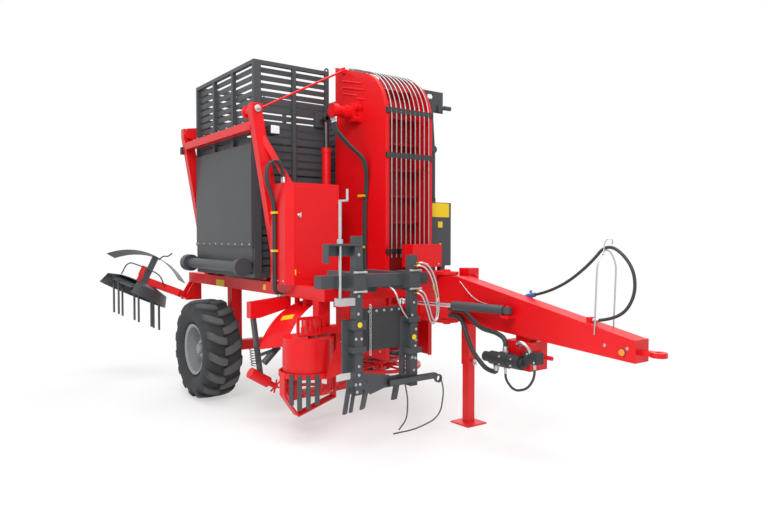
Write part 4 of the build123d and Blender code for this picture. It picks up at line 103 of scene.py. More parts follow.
# %% [markdown]
# ## Shader maths as expressions
# A finish is a small sum: a colour plus a little noise, a roughness that rises where dust lies. Wiring the
# nodes by hand hides that sum, so one class wraps a socket and lets Python's operators add the Math nodes.
# Every other node comes from its one method, which sets the node up and then fills its sockets.


# %% The class that wraps a socket
class Flow:
    """A socket of a node tree that can be used in sums."""

    def __init__(self, tree, socket=None):
        self.tree = tree
        self.socket = socket

    def node(self, kind, settings=None, inputs=None, out=0):
        made = self.tree.nodes.new(kind)
        for name, value in (settings or {}).items():
            setattr(made, name, value)
        for name, value in (inputs or {}).items():
            if isinstance(value, Flow):
                self.tree.links.new(value.socket, made.inputs[name])
            else:
                made.inputs[name].default_value = value
        return Flow(self.tree, made.outputs[out] if made.outputs else None)

    def sum(self, operation, first, second):
        return self.node("ShaderNodeMath", {"operation": operation}, {0: first, 1: second})

    def __add__(self, other):
        return self.sum("ADD", self, other)

    __radd__ = __add__

    def __sub__(self, other):
        return self.sum("SUBTRACT", self, other)

    def __rsub__(self, other):
        return self.sum("SUBTRACT", other, self)

    def __mul__(self, other):
        return self.sum("MULTIPLY", self, other)

    __rmul__ = __mul__


# %% [markdown]
# ## What the finishes share
# Every finish below starts from an empty tree, lays one colour over another, takes its grain from noise and
# softens its sharp edges. Real edges are never quite sharp, and the thin line of light on them is what makes
# a sheet look like metal. Bevelling the solids would change them, so a Bevel node rounds the shading only.

# %% Small tools for finishes
MIX_FACTOR, MIX_A, MIX_B, MIX_RESULT = 0, 6, 7, 2  # sockets of a colour Mix node
BEVEL_SAMPLES = 4


def start_finish(name):
    """A new material with an empty tree, ready for sums, and the place of a point on its surface."""
    material = bpy.data.materials.new(name)
    material.use_nodes = True
    material.node_tree.nodes.clear()
    flow = Flow(material.node_tree)
    return material, flow, flow.node("ShaderNodeTexCoord", out="Object")


def over(flow, factor, base, second):
    """Lays a second colour over a plain or already varying one."""
    base = base if isinstance(base, Flow) else (*base, 1)
    inputs = {MIX_FACTOR: factor, MIX_A: base, MIX_B: (*second, 1)}
    return flow.node("ShaderNodeMix", {"data_type": "RGBA"}, inputs, out=MIX_RESULT)


def speckle(flow, place, scale, detail):
    """Noise from 0 to 1."""
    inputs = {"Vector": place, "Scale": scale, "Detail": detail}
    return flow.node("ShaderNodeTexNoise", None, inputs)


def edge_mask(flow, radius, gain):
    """How strongly a point lies on a sharp edge, from 0 to 1, with the softened normal that shows it."""
    rounded = flow.node("ShaderNodeBevel", {"samples": BEVEL_SAMPLES}, {"Radius": radius})
    flat = flow.node("ShaderNodeNewGeometry", out="Normal")
    normals = {0: rounded, 1: flat}
    same = flow.node("ShaderNodeVectorMath", {"operation": "DOT_PRODUCT"}, normals, out="Value")
    # This mask lays a painted highlight on the edges of paint and rubber
    edge_highlight = (1 - same) * gain
    return flow.node("ShaderNodeClamp", None, {"Value": edge_highlight}), rounded


def bumped(flow, strength, depth, height, normal):
    """A normal with a fine relief on it."""
    inputs = {"Strength": strength, "Distance": depth, "Height": height, "Normal": normal}
    return flow.node("ShaderNodeBump", None, inputs)


def varied(roughness, noise, swing):
    """A roughness that swings about its own value with a noise."""
    return roughness + (noise - 0.5) * swing


def close_finish(flow, inputs):
    """Adds the shader that takes the sums, and the output."""
    shader = flow.node("ShaderNodeBsdfPrincipled", None, inputs)
    flow.node("ShaderNodeOutputMaterial", None, {"Surface": shader})


# %% [markdown]
# ## Sprayed paint
# The frame is sprayed in a glossy signal red and the bunker in a dark satin grey. A single colour would
# look like plastic: real paint varies a little over a sheet, has a fine peel in its gloss and gathers dust
# low down, and a paler colour on every rounded edge is a painted highlight. So each paint has three colours:
# its own, a deeper one that drifts over the sheet, and a paler one painted on the edges as a highlight.

# %% Paint
DUST = (0.42, 0.36, 0.29)
DUST_HEIGHT = 0.75  # metres above the ground below which dust shows
DUST_SHARE = 0.10
DRIFT_SCALE, GRAIN_SCALE, PEEL_SCALE = 2.2, 38, 420  # noise over a sheet, in its grain, in its gloss
PAINT_EDGE = 0.004  # radius to which edges seem rounded
# A paler colour painted on edges as a highlight
EDGE_HIGHLIGHT_GAIN, EDGE_HIGHLIGHT_SHARE = 2.2, 0.35  # how soon an edge shows, and how pale it gets


def paint(name, colour, deep, edge, roughness, coat):
    material, flow, place = start_finish(name)
    broad = speckle(flow, place, scale=DRIFT_SCALE, detail=3.0)
    fine = speckle(flow, place, scale=GRAIN_SCALE, detail=4.0)
    peel = speckle(flow, place, scale=PEEL_SCALE, detail=1.0)
    height = flow.node("ShaderNodeSeparateXYZ", None, {"Vector": place}, out="Z")
    dust_inputs = {"Value": height, "From Min": DUST_HEIGHT, "From Max": 0.0}
    low_down = flow.node("ShaderNodeMapRange", None, dust_inputs)
    shade = over(flow, broad, deep, colour)
    dusty = over(flow, low_down * fine * DUST_SHARE, shade, DUST)
    edge_highlight, rounded = edge_mask(flow, PAINT_EDGE, EDGE_HIGHLIGHT_GAIN)
    # Painted highlight: a paler colour on the edges
    tint = over(flow, edge_highlight * EDGE_HIGHLIGHT_SHARE, dusty, edge)
    bump = bumped(flow, strength=0.05, depth=0.002, height=peel, normal=rounded)
    rough = varied(roughness, fine, swing=0.12) + low_down * DUST_SHARE
    close_finish(flow, {
        "Base Color": tint, "Roughness": rough, "Specular IOR Level": 0.3,
        "Coat Weight": coat, "Coat Roughness": 0.14, "Normal": bump,
    })
    return material


# Each paint: its name, colour, deeper colour, colour of the painted highlight on edges, roughness, coat
red_paint = paint("red_paint", (0.78, 0.004, 0.008), (0.66, 0.003, 0.006), (0.95, 0.05, 0.05), 0.38, 0.10)
# Painted shade: red paint made deeper and duller for the web in the shadow behind the guard
shaded_web_paint = paint("shaded_web_paint", (0.46, 0.003, 0.006), (0.34, 0.002, 0.005), (0.6, 0.03, 0.03), 0.45, 0.04)
grey_paint = paint(
    "grey_paint", (0.064, 0.070, 0.077), (0.048, 0.053, 0.058), (0.15, 0.16, 0.17), 0.46, 0.06
)
black_paint = paint(
    "black_paint", (0.035, 0.037, 0.04), (0.024, 0.025, 0.027), (0.10, 0.10, 0.105), 0.42, 0.05
)
rim_paint = paint("rim_paint", (0.30, 0.31, 0.32), (0.25, 0.26, 0.27), (0.45, 0.46, 0.47), 0.36, 0.10)
yellow_paint = paint("yellow_paint", (0.85, 0.60, 0.01), (0.76, 0.52, 0.01), (0.95, 0.8, 0.25), 0.4, 0.1)
paints = (red_paint, shaded_web_paint, grey_paint, black_paint, rim_paint, yellow_paint)
print("paints", [finish.name for finish in paints])

# %% [markdown]
# ## Rubber
# Tyre rubber is a dull dark grey with dust in its grain, and hoses are of much the same rubber, only
# smoother. On a parked machine the tops of the lugs are rubbed pale while the grooves stay dark. That could
# be two finishes, but one is enough: it grows paler with the distance from the axle.

# %% Rubber
TREAD = (0.494, 0.530)  # radius of a tyre between its lugs, and near their tops
TREAD_SHARE = 0.9
RUBBER_EDGE = 0.005
RUBBER_EDGE_HIGHLIGHT = 0.3  # share of the dusty colour painted on an edge as a highlight


def from_axle(flow, place):
    """How far a point lies from the line of the axle."""
    axle = tuple(spot(0, 0, AXLE_HEIGHT))
    away = flow.node("ShaderNodeVectorMath", {"operation": "SUBTRACT"}, {0: place, 1: axle})
    flat = flow.node("ShaderNodeVectorMath", {"operation": "MULTIPLY"}, {0: away, 1: (1, 0, 1)})
    return flow.node("ShaderNodeVectorMath", {"operation": "LENGTH"}, {0: flat}, out="Value")


def rubber(name, colour, dusty, roughness, grain, lug_top=None):
    material, flow, place = start_finish(name)
    broad = speckle(flow, place, scale=6, detail=4.0)
    fine = speckle(flow, place, scale=grain, detail=3.0)
    shade = over(flow, broad, colour, dusty)
    edge_highlight, rounded = edge_mask(flow, RUBBER_EDGE, gain=1.6)
    # Painted highlight: the dusty colour laid on sharp edges
    tint = over(flow, edge_highlight * RUBBER_EDGE_HIGHLIGHT, shade, dusty)
    if lug_top:
        inputs = {"Value": from_axle(flow, place), "From Min": TREAD[0], "From Max": TREAD[1]}
        rubbed = flow.node("ShaderNodeMapRange", None, inputs)
        tint = over(flow, rubbed * TREAD_SHARE, tint, lug_top)
    bump = bumped(flow, strength=0.25, depth=0.001, height=fine, normal=rounded)
    rough = varied(roughness, broad, swing=0.2)
    close_finish(flow, {"Base Color": tint, "Roughness": rough, "Specular IOR Level": 0.35, "Normal": bump})
    return material


# Each rubber: its name, colour, dusty colour that is also painted on edges as a highlight, roughness,
# scale of its grain, colour of the lugs' tops
tyre_rubber = rubber(
    "tyre_rubber", (0.026, 0.028, 0.030), (0.044, 0.047, 0.049), 0.74, 180, (0.098, 0.103, 0.107)
)
black_rubber = rubber("black_rubber", (0.028, 0.029, 0.031), (0.046, 0.048, 0.05), 0.5, 320)
print("rubbers", [finish.name for finish in (tyre_rubber, black_rubber)])

# %% [markdown]
# ## Steel and brass
# Plated steel is bright but cloudy, and a piston rod is nearly a mirror. Noise in the colour and in the
# roughness gives the clouds. The elevator's guard is one solid of pale bent rods and dark cross bars, so its
# finish turns dark at the height of each bar.

# %% Metal
GUARD_BARS = (1.62, 2.55, 2.98)  # heights of the cross bars of the elevator's guard
GUARD_BAR_HALF = 0.0255
GUARD_BAR_COLOUR = (0.075, 0.078, 0.081)
METAL_EDGE = 0.002
METAL_GRAIN = 260


def metal(name, colour, deep, roughness, cloud, bars=()):
    material, flow, place = start_finish(name)
    broad = speckle(flow, place, scale=cloud, detail=4.0)
    fine = speckle(flow, place, scale=METAL_GRAIN, detail=2.0)
    shade = over(flow, broad, deep, colour)
    for bar in bars:
        height = flow.node("ShaderNodeSeparateXYZ", None, {"Vector": place}, out="Z")
        inputs = {0: height, 1: bar, 2: GUARD_BAR_HALF}
        on_bar = flow.node("ShaderNodeMath", {"operation": "COMPARE"}, inputs)
        shade = over(flow, on_bar, shade, GUARD_BAR_COLOUR)
    _, rounded = edge_mask(flow, METAL_EDGE, gain=1.0)
    bump = bumped(flow, strength=0.06, depth=0.001, height=fine, normal=rounded)
    rough = varied(roughness, broad, swing=0.16)
    close_finish(flow, {"Base Color": shade, "Roughness": rough, "Metallic": 1.0, "Normal": bump})
    return material


# Each metal: its name, colour, deeper colour, roughness, scale of its clouds
bare_steel = metal("bare_steel", (0.62, 0.63, 0.64), (0.45, 0.46, 0.47), 0.34, 14)
dark_steel = metal("dark_steel", (0.13, 0.134, 0.138), (0.08, 0.083, 0.086), 0.45, 10)
guard_steel = metal("guard_steel", (0.36, 0.365, 0.37), (0.25, 0.255, 0.26), 0.4, 9, GUARD_BARS)
bright_rod = metal("bright_rod", (0.86, 0.87, 0.88), (0.78, 0.79, 0.8), 0.14, 20)
brass = metal("brass", (0.78, 0.55, 0.16), (0.62, 0.42, 0.11), 0.3, 30)
print("metals", [finish.name for finish in (bare_steel, dark_steel, guard_steel, bright_rod, brass)])

# %% [markdown]
# ## Moulded plastic
# Reflectors and lamp glasses are moulded plastic with fine prisms on the back. Modelling the prisms would
# take thousands of faces for a disc of a few centimetres, so a fine checked bump suggests them.

# %% Plastic
PRISM_SHARE = 0.6  # of the change in colour, and the rest is cloud


def moulded(name, colour, deep, roughness, prism_scale):
    material, flow, place = start_finish(name)
    broad = speckle(flow, place, scale=30, detail=2.0)
    prism_inputs = {"Vector": place, "Scale": prism_scale}
    prisms = flow.node("ShaderNodeTexChecker", None, prism_inputs, out="Fac")
    shade = over(flow, prisms * PRISM_SHARE + broad * (1 - PRISM_SHARE), deep, colour)
    bump = flow.node("ShaderNodeBump", None, {"Strength": 0.3, "Distance": 0.001, "Height": prisms})
    rough = varied(roughness, broad, swing=0.1)
    close_finish(flow, {"Base Color": shade, "Roughness": rough, "Coat Weight": 0.5, "Normal": bump})
    return material


lamp_glass = moulded("lamp_glass", (0.86, 0.88, 0.9), (0.6, 0.63, 0.66), 0.12, 130)
orange_lens = moulded("orange_lens", (0.9, 0.33, 0.01), (0.75, 0.24, 0.01), 0.2, 240)
red_lens = moulded("red_lens", (0.62, 0.01, 0.012), (0.45, 0.006, 0.008), 0.2, 240)
blue_plastic = moulded("blue_plastic", (0.02, 0.16, 0.42), (0.015, 0.11, 0.32), 0.3, 60)
print("plastics", [finish.name for finish in (lamp_glass, orange_lens, red_lens, blue_plastic)])

# %% [markdown]
# ## A finish for every solid
# The record says which material each solid is made of. That settles nearly all of them. Four differ a little
# from their kind: the web behind the guard is its red paint made deeper and duller as painted shade, for the
# shadow it lies in behind the guard, the feelers and the tipping rods are dark steel, and the guard has its
# bars.

# %% Give every solid its finish
finish_of_slot = {
    "red_paint": red_paint,
    "grey_paint": grey_paint,
    "black_paint": black_paint,
    "rim_paint": rim_paint,
    "tyre_rubber": tyre_rubber,
    "black_rubber": black_rubber,
    "bare_steel": bare_steel,
    "bright_rod": bright_rod,
}
slot_of_finish = {finish.name: slot for slot, finish in finish_of_slot.items()}
own_finish = {
    # Painted shade: the web's red darkened for the shadow behind the guard
    "elevator_web": shaded_web_paint,
    "row_feelers": dark_steel,
    "tip_rods": dark_steel,
    "elevator_guard": guard_steel,
}
for subpart in frame["record"]["subparts"]:
    name = subpart["node"]
    mesh = nodes[name].data
    mesh.materials.clear()
    mesh.materials.append(own_finish.get(name, finish_of_slot[subpart["material_slot"]]))

# %% [markdown]
# ## Tools for small parts
# A machine like this is held together by hundreds of bolts, clamps and fittings. Nearly all of them are
# turned or pressed shapes, so two tools make most of them: one spins a profile round an axis, and one makes
# a plate with round corners and a chamfer. A bolt is three spun profiles: washer, head and end of thread.


# %% Turned pieces and bolts
def around(count):
    """Angles evenly spread over a full turn."""
    return [2 * math.pi * step / count for step in range(count)]


def turned(bm, profile, place, axis, steps, ring=False):
    """Spins a profile of radius and height round an axis. A ring's profile closes on itself."""
    matrix = Matrix.Translation(place) @ Vector(axis).to_track_quat("Z", "Y").to_matrix().to_4x4()
    rings = []
    for radius, height in profile:
        corners = [Vector((radius * math.cos(a), radius * math.sin(a), height)) for a in around(steps)]
        rings.append([bm.verts.new(matrix @ corner) for corner in corners])
    for low, high in zip(rings, rings[1:] + rings[:1] if ring else rings[1:]):
        for step in range(steps):
            after = (step + 1) % steps
            bm.faces.new((low[step], low[after], high[after], high[step]))
    if not ring:
        bm.faces.new(rings[0][::-1])
        bm.faces.new(rings[-1])


# Profiles for a washer of radius 1, each with its number of sides
BOLT_PROFILES = (
    (((1, 0), (1, 0.14), (0.94, 0.18)), 18),
    (((0.58, 0.17), (0.58, 0.62), (0.5, 0.72)), 6),
    (((0.3, 0.7), (0.3, 0.92), (0.24, 1)), 10),
)


def bolt(bm, place, axis, size):
    """Adds a hexagon head on a washer of that radius, with the end of the thread."""
    for profile, sides in BOLT_PROFILES:
        turned(bm, [(radius * size, height * size) for radius, height in profile], place, axis, sides)


# %% Plates
CORNER_STEPS = 4
SMALLEST_CORNER = 0.0005
CHAMFER_SHARE, CHAMFER_MOST = 0.3, 0.002  # of the thickness, and at most


def plate(bm, place, right, up, size, thick, corner):
    """Adds a plate with round corners and a chamfered face, its back at the place."""
    right, up = Vector(right).normalized(), Vector(up).normalized()
    out = right.cross(up)
    wide, high = size[0] / 2, size[1] / 2

    def edge(inset, depth):
        radius = max(corner - inset, SMALLEST_CORNER)
        made = []
        for quarter, (sx, sy) in enumerate(((1, 1), (-1, 1), (-1, -1), (1, -1))):
            for step in range(CORNER_STEPS + 1):
                angle = math.pi / 2 * (quarter + step / CORNER_STEPS)
                x = sx * (wide - inset - radius) + radius * math.cos(angle)
                y = sy * (high - inset - radius) + radius * math.sin(angle)
                made.append(bm.verts.new(Vector(place) + right * x + up * y + out * depth))
        return made

    chamfer = min(CHAMFER_SHARE * thick, CHAMFER_MOST)
    edges = [edge(0, 0), edge(0, thick - chamfer), edge(chamfer, thick)]
    for near, far in zip(edges, edges[1:]):
        for step in range(len(near)):
            after = (step + 1) % len(near)
            bm.faces.new((near[step], near[after], far[after], far[step]))
    bm.faces.new(edges[0][::-1])
    bm.faces.new(edges[-1])


# %% [markdown]
# ## Parts that ride on a body
# When the bunker tips or the drawbar steers, its bolts and hoses have to go with it. So every part is settled
# on the body that carries it, and parts of one kind are gathered in one mesh. Hoses, pipes and springs could
# be meshes too, but a curve with a round section is shorter to write and bends smoothly.

# %% Objects that ride on a body
SMOOTH_ANGLE = math.radians(38)
ROUND_SECTION = 3  # how finely a round line's section is drawn


def settle(piece, finish, body):
    """Links a piece, gives it its finish and lets it ride on its body."""
    piece.data.materials.append(finish)
    bpy.context.scene.collection.objects.link(piece)
    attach(piece, body)
    finish.name in slot_of_finish
    return piece


def from_mesh(name, bm, finish, body):
    """Closes a mesh and settles it, smooth apart from its edges."""
    mesh = bpy.data.meshes.new(name)
    bmesh.ops.recalc_face_normals(bm, faces=bm.faces)
    bm.to_mesh(mesh)
    bm.free()
    mesh.shade_smooth()
    mesh.set_sharp_from_angle(angle=SMOOTH_ANGLE)
    print(name, "faces", len(mesh.polygons))
    return settle(bpy.data.objects.new(name, mesh), finish, body)


def round_line(name, points, radius, finish, body, detail=10):
    """A hose, pipe or spring: a round line drawn smoothly near its points."""
    data = bpy.data.curves.new(name, "CURVE")
    data.dimensions = "3D"
    data.bevel_depth = radius
    data.bevel_resolution = ROUND_SECTION
    data.resolution_u = detail
    data.use_fill_caps = True
    line = data.splines.new("NURBS")
    line.points.add(len(points) - 1)
    for point, place in zip(line.points, points):
        point.co = (*place, 1)
    line.order_u = 3
    line.use_endpoint_u = True
    print(name, "points", len(points))
    return settle(bpy.data.objects.new(name, data), finish, body)


# %% [markdown]
# ## The hose to the tractor
# One hose leaves a clip on the drawbar's left side, hangs over the wire holder and comes back down to its
# fitting on top of the beam. It is a free hose, so it is one smooth spline led by a few points, not
# bent wire. A blue coupling half sits on it near the clip, and each end has a pressed steel sleeve.

# %% Tractor hose
LOOP_RADIUS = 0.012
LOOP_POINTS = (
    (2.990, 0.404, 1.225),
    (3.300, 0.404, 1.262),
    (3.620, 0.398, 1.370),
    (3.890, 0.370, 1.550),
    (4.090, 0.310, 1.725),
    (4.290, 0.310, 1.565),
    (4.315, 0.310, 1.345),
    (4.180, 0.310, 1.165),
    (3.965, 0.310, 1.140),
)
loop_points = [spot(*point) for point in LOOP_POINTS]
tractor_hose = round_line("tractor_hose", loop_points, LOOP_RADIUS, black_rubber, "drawbar", detail=24)
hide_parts("loop_hose")

# %% Sleeves and coupling of the tractor hose
SLEEVE = ((0.013, 0), (0.0165, 0.003), (0.0165, 0.03), (0.0145, 0.034), (0.0145, 0.05), (0.013, 0.054))
COUPLING = (
    (0.0125, -0.05), (0.019, -0.046), (0.019, -0.022), (0.024, -0.018),
    (0.024, 0.016), (0.02, 0.02), (0.02, 0.046), (0.0125, 0.05),
)
COUPLING_TAP = ((0.004, 0), (0.010, 0.002), (0.010, 0.026), (0.006, 0.03))
COUPLING_WAY = Vector((0.31, 0, 0.062)).normalized()

sleeves = bmesh.new()
for end, inner in ((0, 1), (-1, -2)):
    turned(sleeves, SLEEVE, loop_points[end], loop_points[inner] - loop_points[end], steps=20)
hose_sleeves = from_mesh("tractor_hose_sleeves", sleeves, bare_steel, "drawbar")

coupling = bmesh.new()
turned(coupling, COUPLING, spot(3.290, 0.4031, 1.2718), COUPLING_WAY, steps=24)
turned(coupling, COUPLING_TAP, spot(3.292, 0.4031, 1.288), (0.1, 0, 1), steps=14)
blue_coupling = from_mesh("blue_coupling", coupling, blue_plastic, "drawbar")

# %% [markdown]
# ## Tyres
# A farm tyre is a smooth bulging ring with slanted lugs standing on it, half of them set between the other
# half. Each lug starts past the middle of the tread, bends, and runs over the shoulder onto the wall. It
# could be a flat block, but a real lug has sloped sides and a soft edge, so each is swept from a small
# trapezoid that follows the tyre's curve. A thin rib runs round the wall.

# %% Sections of a tyre
LUG_COUNT = 15  # on each half
TREAD_RADIUS = AXLE_HEIGHT
TYRE_STEPS = 120  # round the ring
# Section of the ring: place across from the middle, radius
WALL_SECTION = (
    (0.150, 0.286), (0.160, 0.298), (0.170, 0.303), (0.173, 0.310),
    (0.180, 0.318), (0.193, 0.345), (0.2015, 0.375), (0.205, 0.405),
    (0.203, 0.432), (0.2035, 0.438), (0.2005, 0.444), (0.195, 0.460),
    (0.182, 0.478), (0.160, 0.489), (0.130, 0.4935), (0.060, 0.495),
)
# Stations of a lug: place across, middle along the tread, width, radius of its top, of its foot
LUG_STATIONS = (
    (-0.012, 0.025, 0.078, 0.5365, 0.486),
    (0.020, 0.031, 0.088, 0.5375, 0.486),
    (0.062, 0.043, 0.092, 0.5370, 0.486),
    (0.110, 0.072, 0.096, 0.5340, 0.484),
    (0.150, 0.098, 0.100, 0.5280, 0.478),
    (0.178, 0.117, 0.102, 0.5130, 0.464),
    (0.196, 0.130, 0.102, 0.4890, 0.442),
    (0.2035, 0.138, 0.098, 0.4500, 0.420),
)
# Corners of a lug's section: side in half widths, height from foot 0 to top 1
LUG_SECTION = ((-1.12, 0.0), (-0.98, 0.72), (-0.84, 1.0), (0.84, 1.0), (0.98, 0.72), (1.12, 0.0))
print("lugs", 2 * LUG_COUNT, "tread radius", round(TREAD_RADIUS, 4))


# %% Tyres
def lug(bm, axle, half, turn):
    """Adds one lug on one half of the tread, swept over its stations."""
    rows = []
    for across, along, width, top, foot in LUG_STATIONS:
        corners = []
        for shift, rise in LUG_SECTION:
            angle = turn + (along + shift * width / 2) / TREAD_RADIUS
            radius = foot + (top - foot) * rise
            place = Vector((radius * math.cos(angle), half * across, radius * math.sin(angle)))
            corners.append(bm.verts.new(axle + place))
        rows.append(corners)
    for near, far in zip(rows, rows[1:]):
        for step in range(len(LUG_SECTION) - 1):
            bm.faces.new((near[step], near[step + 1], far[step + 1], far[step]))
    bm.faces.new(rows[0])
    bm.faces.new(rows[-1])


def tyre(name, body, node, side):
    """The ring and its lugs about the wheel's axle."""
    bm = bmesh.new()
    axle = spot(0, side * HALF_TRACK, AXLE_HEIGHT)
    section = [(-across, radius) for across, radius in WALL_SECTION] + list(WALL_SECTION[::-1])
    turned(bm, [(radius, across) for across, radius in section], axle, (0, 1, 0), TYRE_STEPS, ring=True)
    for half in (-1, 1):
        start = 0 if half > 0 else math.pi / LUG_COUNT
        for turn in around(LUG_COUNT):
            lug(bm, axle, half, start + turn)
    piece = from_mesh(name, bm, tyre_rubber, body)
    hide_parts(node)


tyre("tyre_right_dressed", "wheel_right", "tyre_right", -1)
tyre("tyre_left_dressed", "wheel_left", "tyre_left", 1)

# %% [markdown]
# ## Wheel nuts, hub caps and valves
# Eight nuts hold each rim round a stepped cap over the wheel bearing, and a brass valve leans out of the
# dish. They turn with the wheel, so they ride on the wheel's own body.

# %% Wheel nuts, hub caps and valves
HUB_FACE = 0.075  # from the tyre's middle out to the hub's end
NUT_COUNT, NUT_CIRCLE, NUT_SIZE = 8, 0.072, 0.013
HUB_CAP = ((0.058, 0), (0.058, 0.024), (0.052, 0.036), (0.034, 0.041), (0.031, 0.039))
VALVE_RADIUS = 0.005
# Way of the valve: forward of the axle, out from the tyre's middle, above the axle
VALVE_WAY = ((0.19, 0.03, 0.09), (0.175, 0.07, 0.083), (0.165, 0.085, 0.078))

for side, body in ((-1, "wheel_right"), (1, "wheel_left")):
    out = (0, side, 0)
    face_y = side * (HALF_TRACK + HUB_FACE)
    nuts = bmesh.new()
    for angle in around(NUT_COUNT):
        rise = NUT_CIRCLE * math.sin(angle)
        bolt(nuts, spot(NUT_CIRCLE * math.cos(angle), face_y, AXLE_HEIGHT + rise), out, NUT_SIZE)
    from_mesh("wheel_nuts_" + body, nuts, bare_steel, body)
    cap = bmesh.new()
    turned(cap, HUB_CAP, spot(0, face_y, AXLE_HEIGHT), out, steps=36)
    from_mesh("hub_cap_" + body, cap, rim_paint, body)
    valve = [spot(x, side * (HALF_TRACK + away), AXLE_HEIGHT + rise) for x, away, rise in VALVE_WAY]
    round_line("tyre_valve_" + body, valve, VALVE_RADIUS, brass, body)

# %% [markdown]
# ## Seating small parts
# A bolt that floats a few millimetres off its plate, or sinks into it, spoils the picture at once. Instead
# of working out every surface by hand, a part's place is dropped along its own axis onto the solid that
# carries it, and what misses is left out and counted.

# %% Seats on the solids
from mathutils.bvhtree import BVHTree

RIGHT, LEFT, FRONT, REAR = (0, -1, 0), (0, 1, 0), (1, 0, 0), (-1, 0, 0)
UP, DOWN = (0, 0, 1), (0, 0, -1)
DROP = 0.25  # how far outside the given place the drop starts
surfaces = {}


def seat(node, place, axis):
    """Where a part that points along the axis meets the node's surface, or None."""
    if node not in surfaces:
        mesh = nodes[node].data
        faces = [tuple(face.vertices) for face in mesh.polygons]
        surfaces[node] = BVHTree.FromPolygons([v.co for v in mesh.vertices], faces)
    axis = Vector(axis).normalized()
    hit, _, _, _ = surfaces[node].ray_cast(spot(*place) + axis * DROP, -axis, 2 * DROP)
    return hit


def seated_bolts(name, node, body, axis, size, places):
    """Bolts dropped onto one solid along one axis."""
    bm = bmesh.new()
    hits = [hit for hit in (seat(node, place, axis) for place in places) if hit]
    for hit in hits:
        bolt(bm, hit, axis, size)
    print("missed", len(places) - len(hits), end=" ")
    return from_mesh(name, bm, bare_steel, body)


def spaced(start, end, count):
    """Evenly spaced places from a start to an end."""
    start, end = Vector(start), Vector(end)
    return [tuple(start.lerp(end, index / (count - 1))) for index in range(count)]


# %% [markdown]
# ## Bolts in rows and groups
# The side panel is held by a row of bolts over the roller, the wall sheets are bolted along their top
# edges, and the elevator's foot along its lower edge. Such rows are given by their two ends. The topper's
# posts, the pumps, the gearbox and the jack have their bolts where the castings need them, so those are
# listed one by one.

# %% Rows of bolts
# Name, solid, body, way they point, radius of the washer, count, first and last place
BOLT_ROWS = (
    ("panel_bolts", "bunker_side_panel", "bunker", RIGHT, 0.011, 9,
     (-0.54, -1.0, 1.685), (0.86, -1.0, 1.685)),
    ("right_rail_bolts", "bunker_wall_right", "bunker", RIGHT, 0.009, 8,
     (-0.58, -1.0, 2.925), (0.91, -1.0, 2.925)),
    ("rear_sheet_bolts", "bunker_wall_rear", "bunker", REAR, 0.011, 8,
     (-0.64, -0.9, 2.92), (-0.64, 0.72, 2.92)),
    ("left_sheet_bolts", "bunker_wall_left", "bunker", LEFT, 0.011, 8,
     (-0.56, 0.79, 3.27), (0.9, 0.79, 3.27)),
    ("elevator_foot_bolts", "elevator_housing", "chassis", RIGHT, 0.012, 5,
     (1.1, -0.1, 0.64), (1.8, -0.1, 0.64)),
    ("hood_edge_bolts", "lifter_hood", "chassis", (0, -0.5, 0.87), 0.010, 4,
     (1.62, -0.60, 1.2), (1.36, -0.70, 1.14)),
    ("curtain_bolts", "topper_curtain", "chassis", FRONT, 0.011, 6,
     (2.7, -0.88, 1.165), (2.7, -0.5, 1.165)),
    ("cabinet_foot_bolts", "oil_cabinet", "chassis", RIGHT, 0.010, 3,
     (1.24, -0.95, 1.345), (1.46, -0.95, 1.345)),
    ("toolbox_bolts", "toolbox", "chassis", FRONT, 0.009, 3,
     (2.15, 0.13, 1.50), (2.15, 0.41, 1.50)),
    ("drawbar_side_bolts", "drawbar_beam", "drawbar", RIGHT, 0.012, 2,
     (4.12, 0.2, 0.985), (4.30, 0.2, 0.985)),
    ("drawbar_left_bolts", "drawbar_beam", "drawbar", LEFT, 0.012, 2,
     (4.12, 0.42, 0.985), (4.30, 0.42, 0.985)),
    ("star_bolts", "cleaning_star", "star", DOWN, 0.012, 2,
     (1.385, 0.21, 0.36), (1.475, 0.21, 0.36)),
)
for name, node, body, axis, size, count, first, last in BOLT_ROWS:
    seated_bolts(name, node, body, axis, size, spaced(first, last, count))

# %% Bolts and nuts in groups
# Across and up, on the front of the topper's posts
TOPPER_BOLTS = (
    (-0.960, 1.162), (-0.982, 0.969), (-0.930, 0.966), (-0.955, 0.754), (-0.955, 0.686), (-0.985, 0.615),
    (-0.945, 0.613), (-0.972, 0.556), (-0.955, 1.30), (-0.955, 1.62), (-0.425, 1.115), (-0.385, 0.998),
    (-0.425, 0.768), (-0.385, 0.908), (-0.392, 0.859), (-0.391, 0.759), (-0.406, 0.66), (-0.406, 1.22),
)
# Along and up, on the right side of the pumps and of the jack
PUMP_BOLTS = ((3.24, 0.79), (3.24, 0.73), (3.36, 0.785), (3.36, 0.735), (3.50, 0.845), (3.57, 0.785))
JACK_BOLTS = ((2.47, 1.15), (2.47, 1.22), (2.43, 1.30), (2.51, 1.30))
GEARBOX_BOLTS = [(3.33 + dx, 0.45, 0.80 + dz) for dx in (-0.11, 0, 0.11) for dz in (-0.095, 0.095)]
CAGE_CIRCLE = 0.09
CAGE_ANGLES = (0.4, 1.45, 2.5, 3.55, 4.6, 5.65)
CAGE_BOLTS = [
    (1.9 + CAGE_CIRCLE * math.cos(angle), -0.915 + CAGE_CIRCLE * math.sin(angle), 0.9)
    for angle in CAGE_ANGLES
]
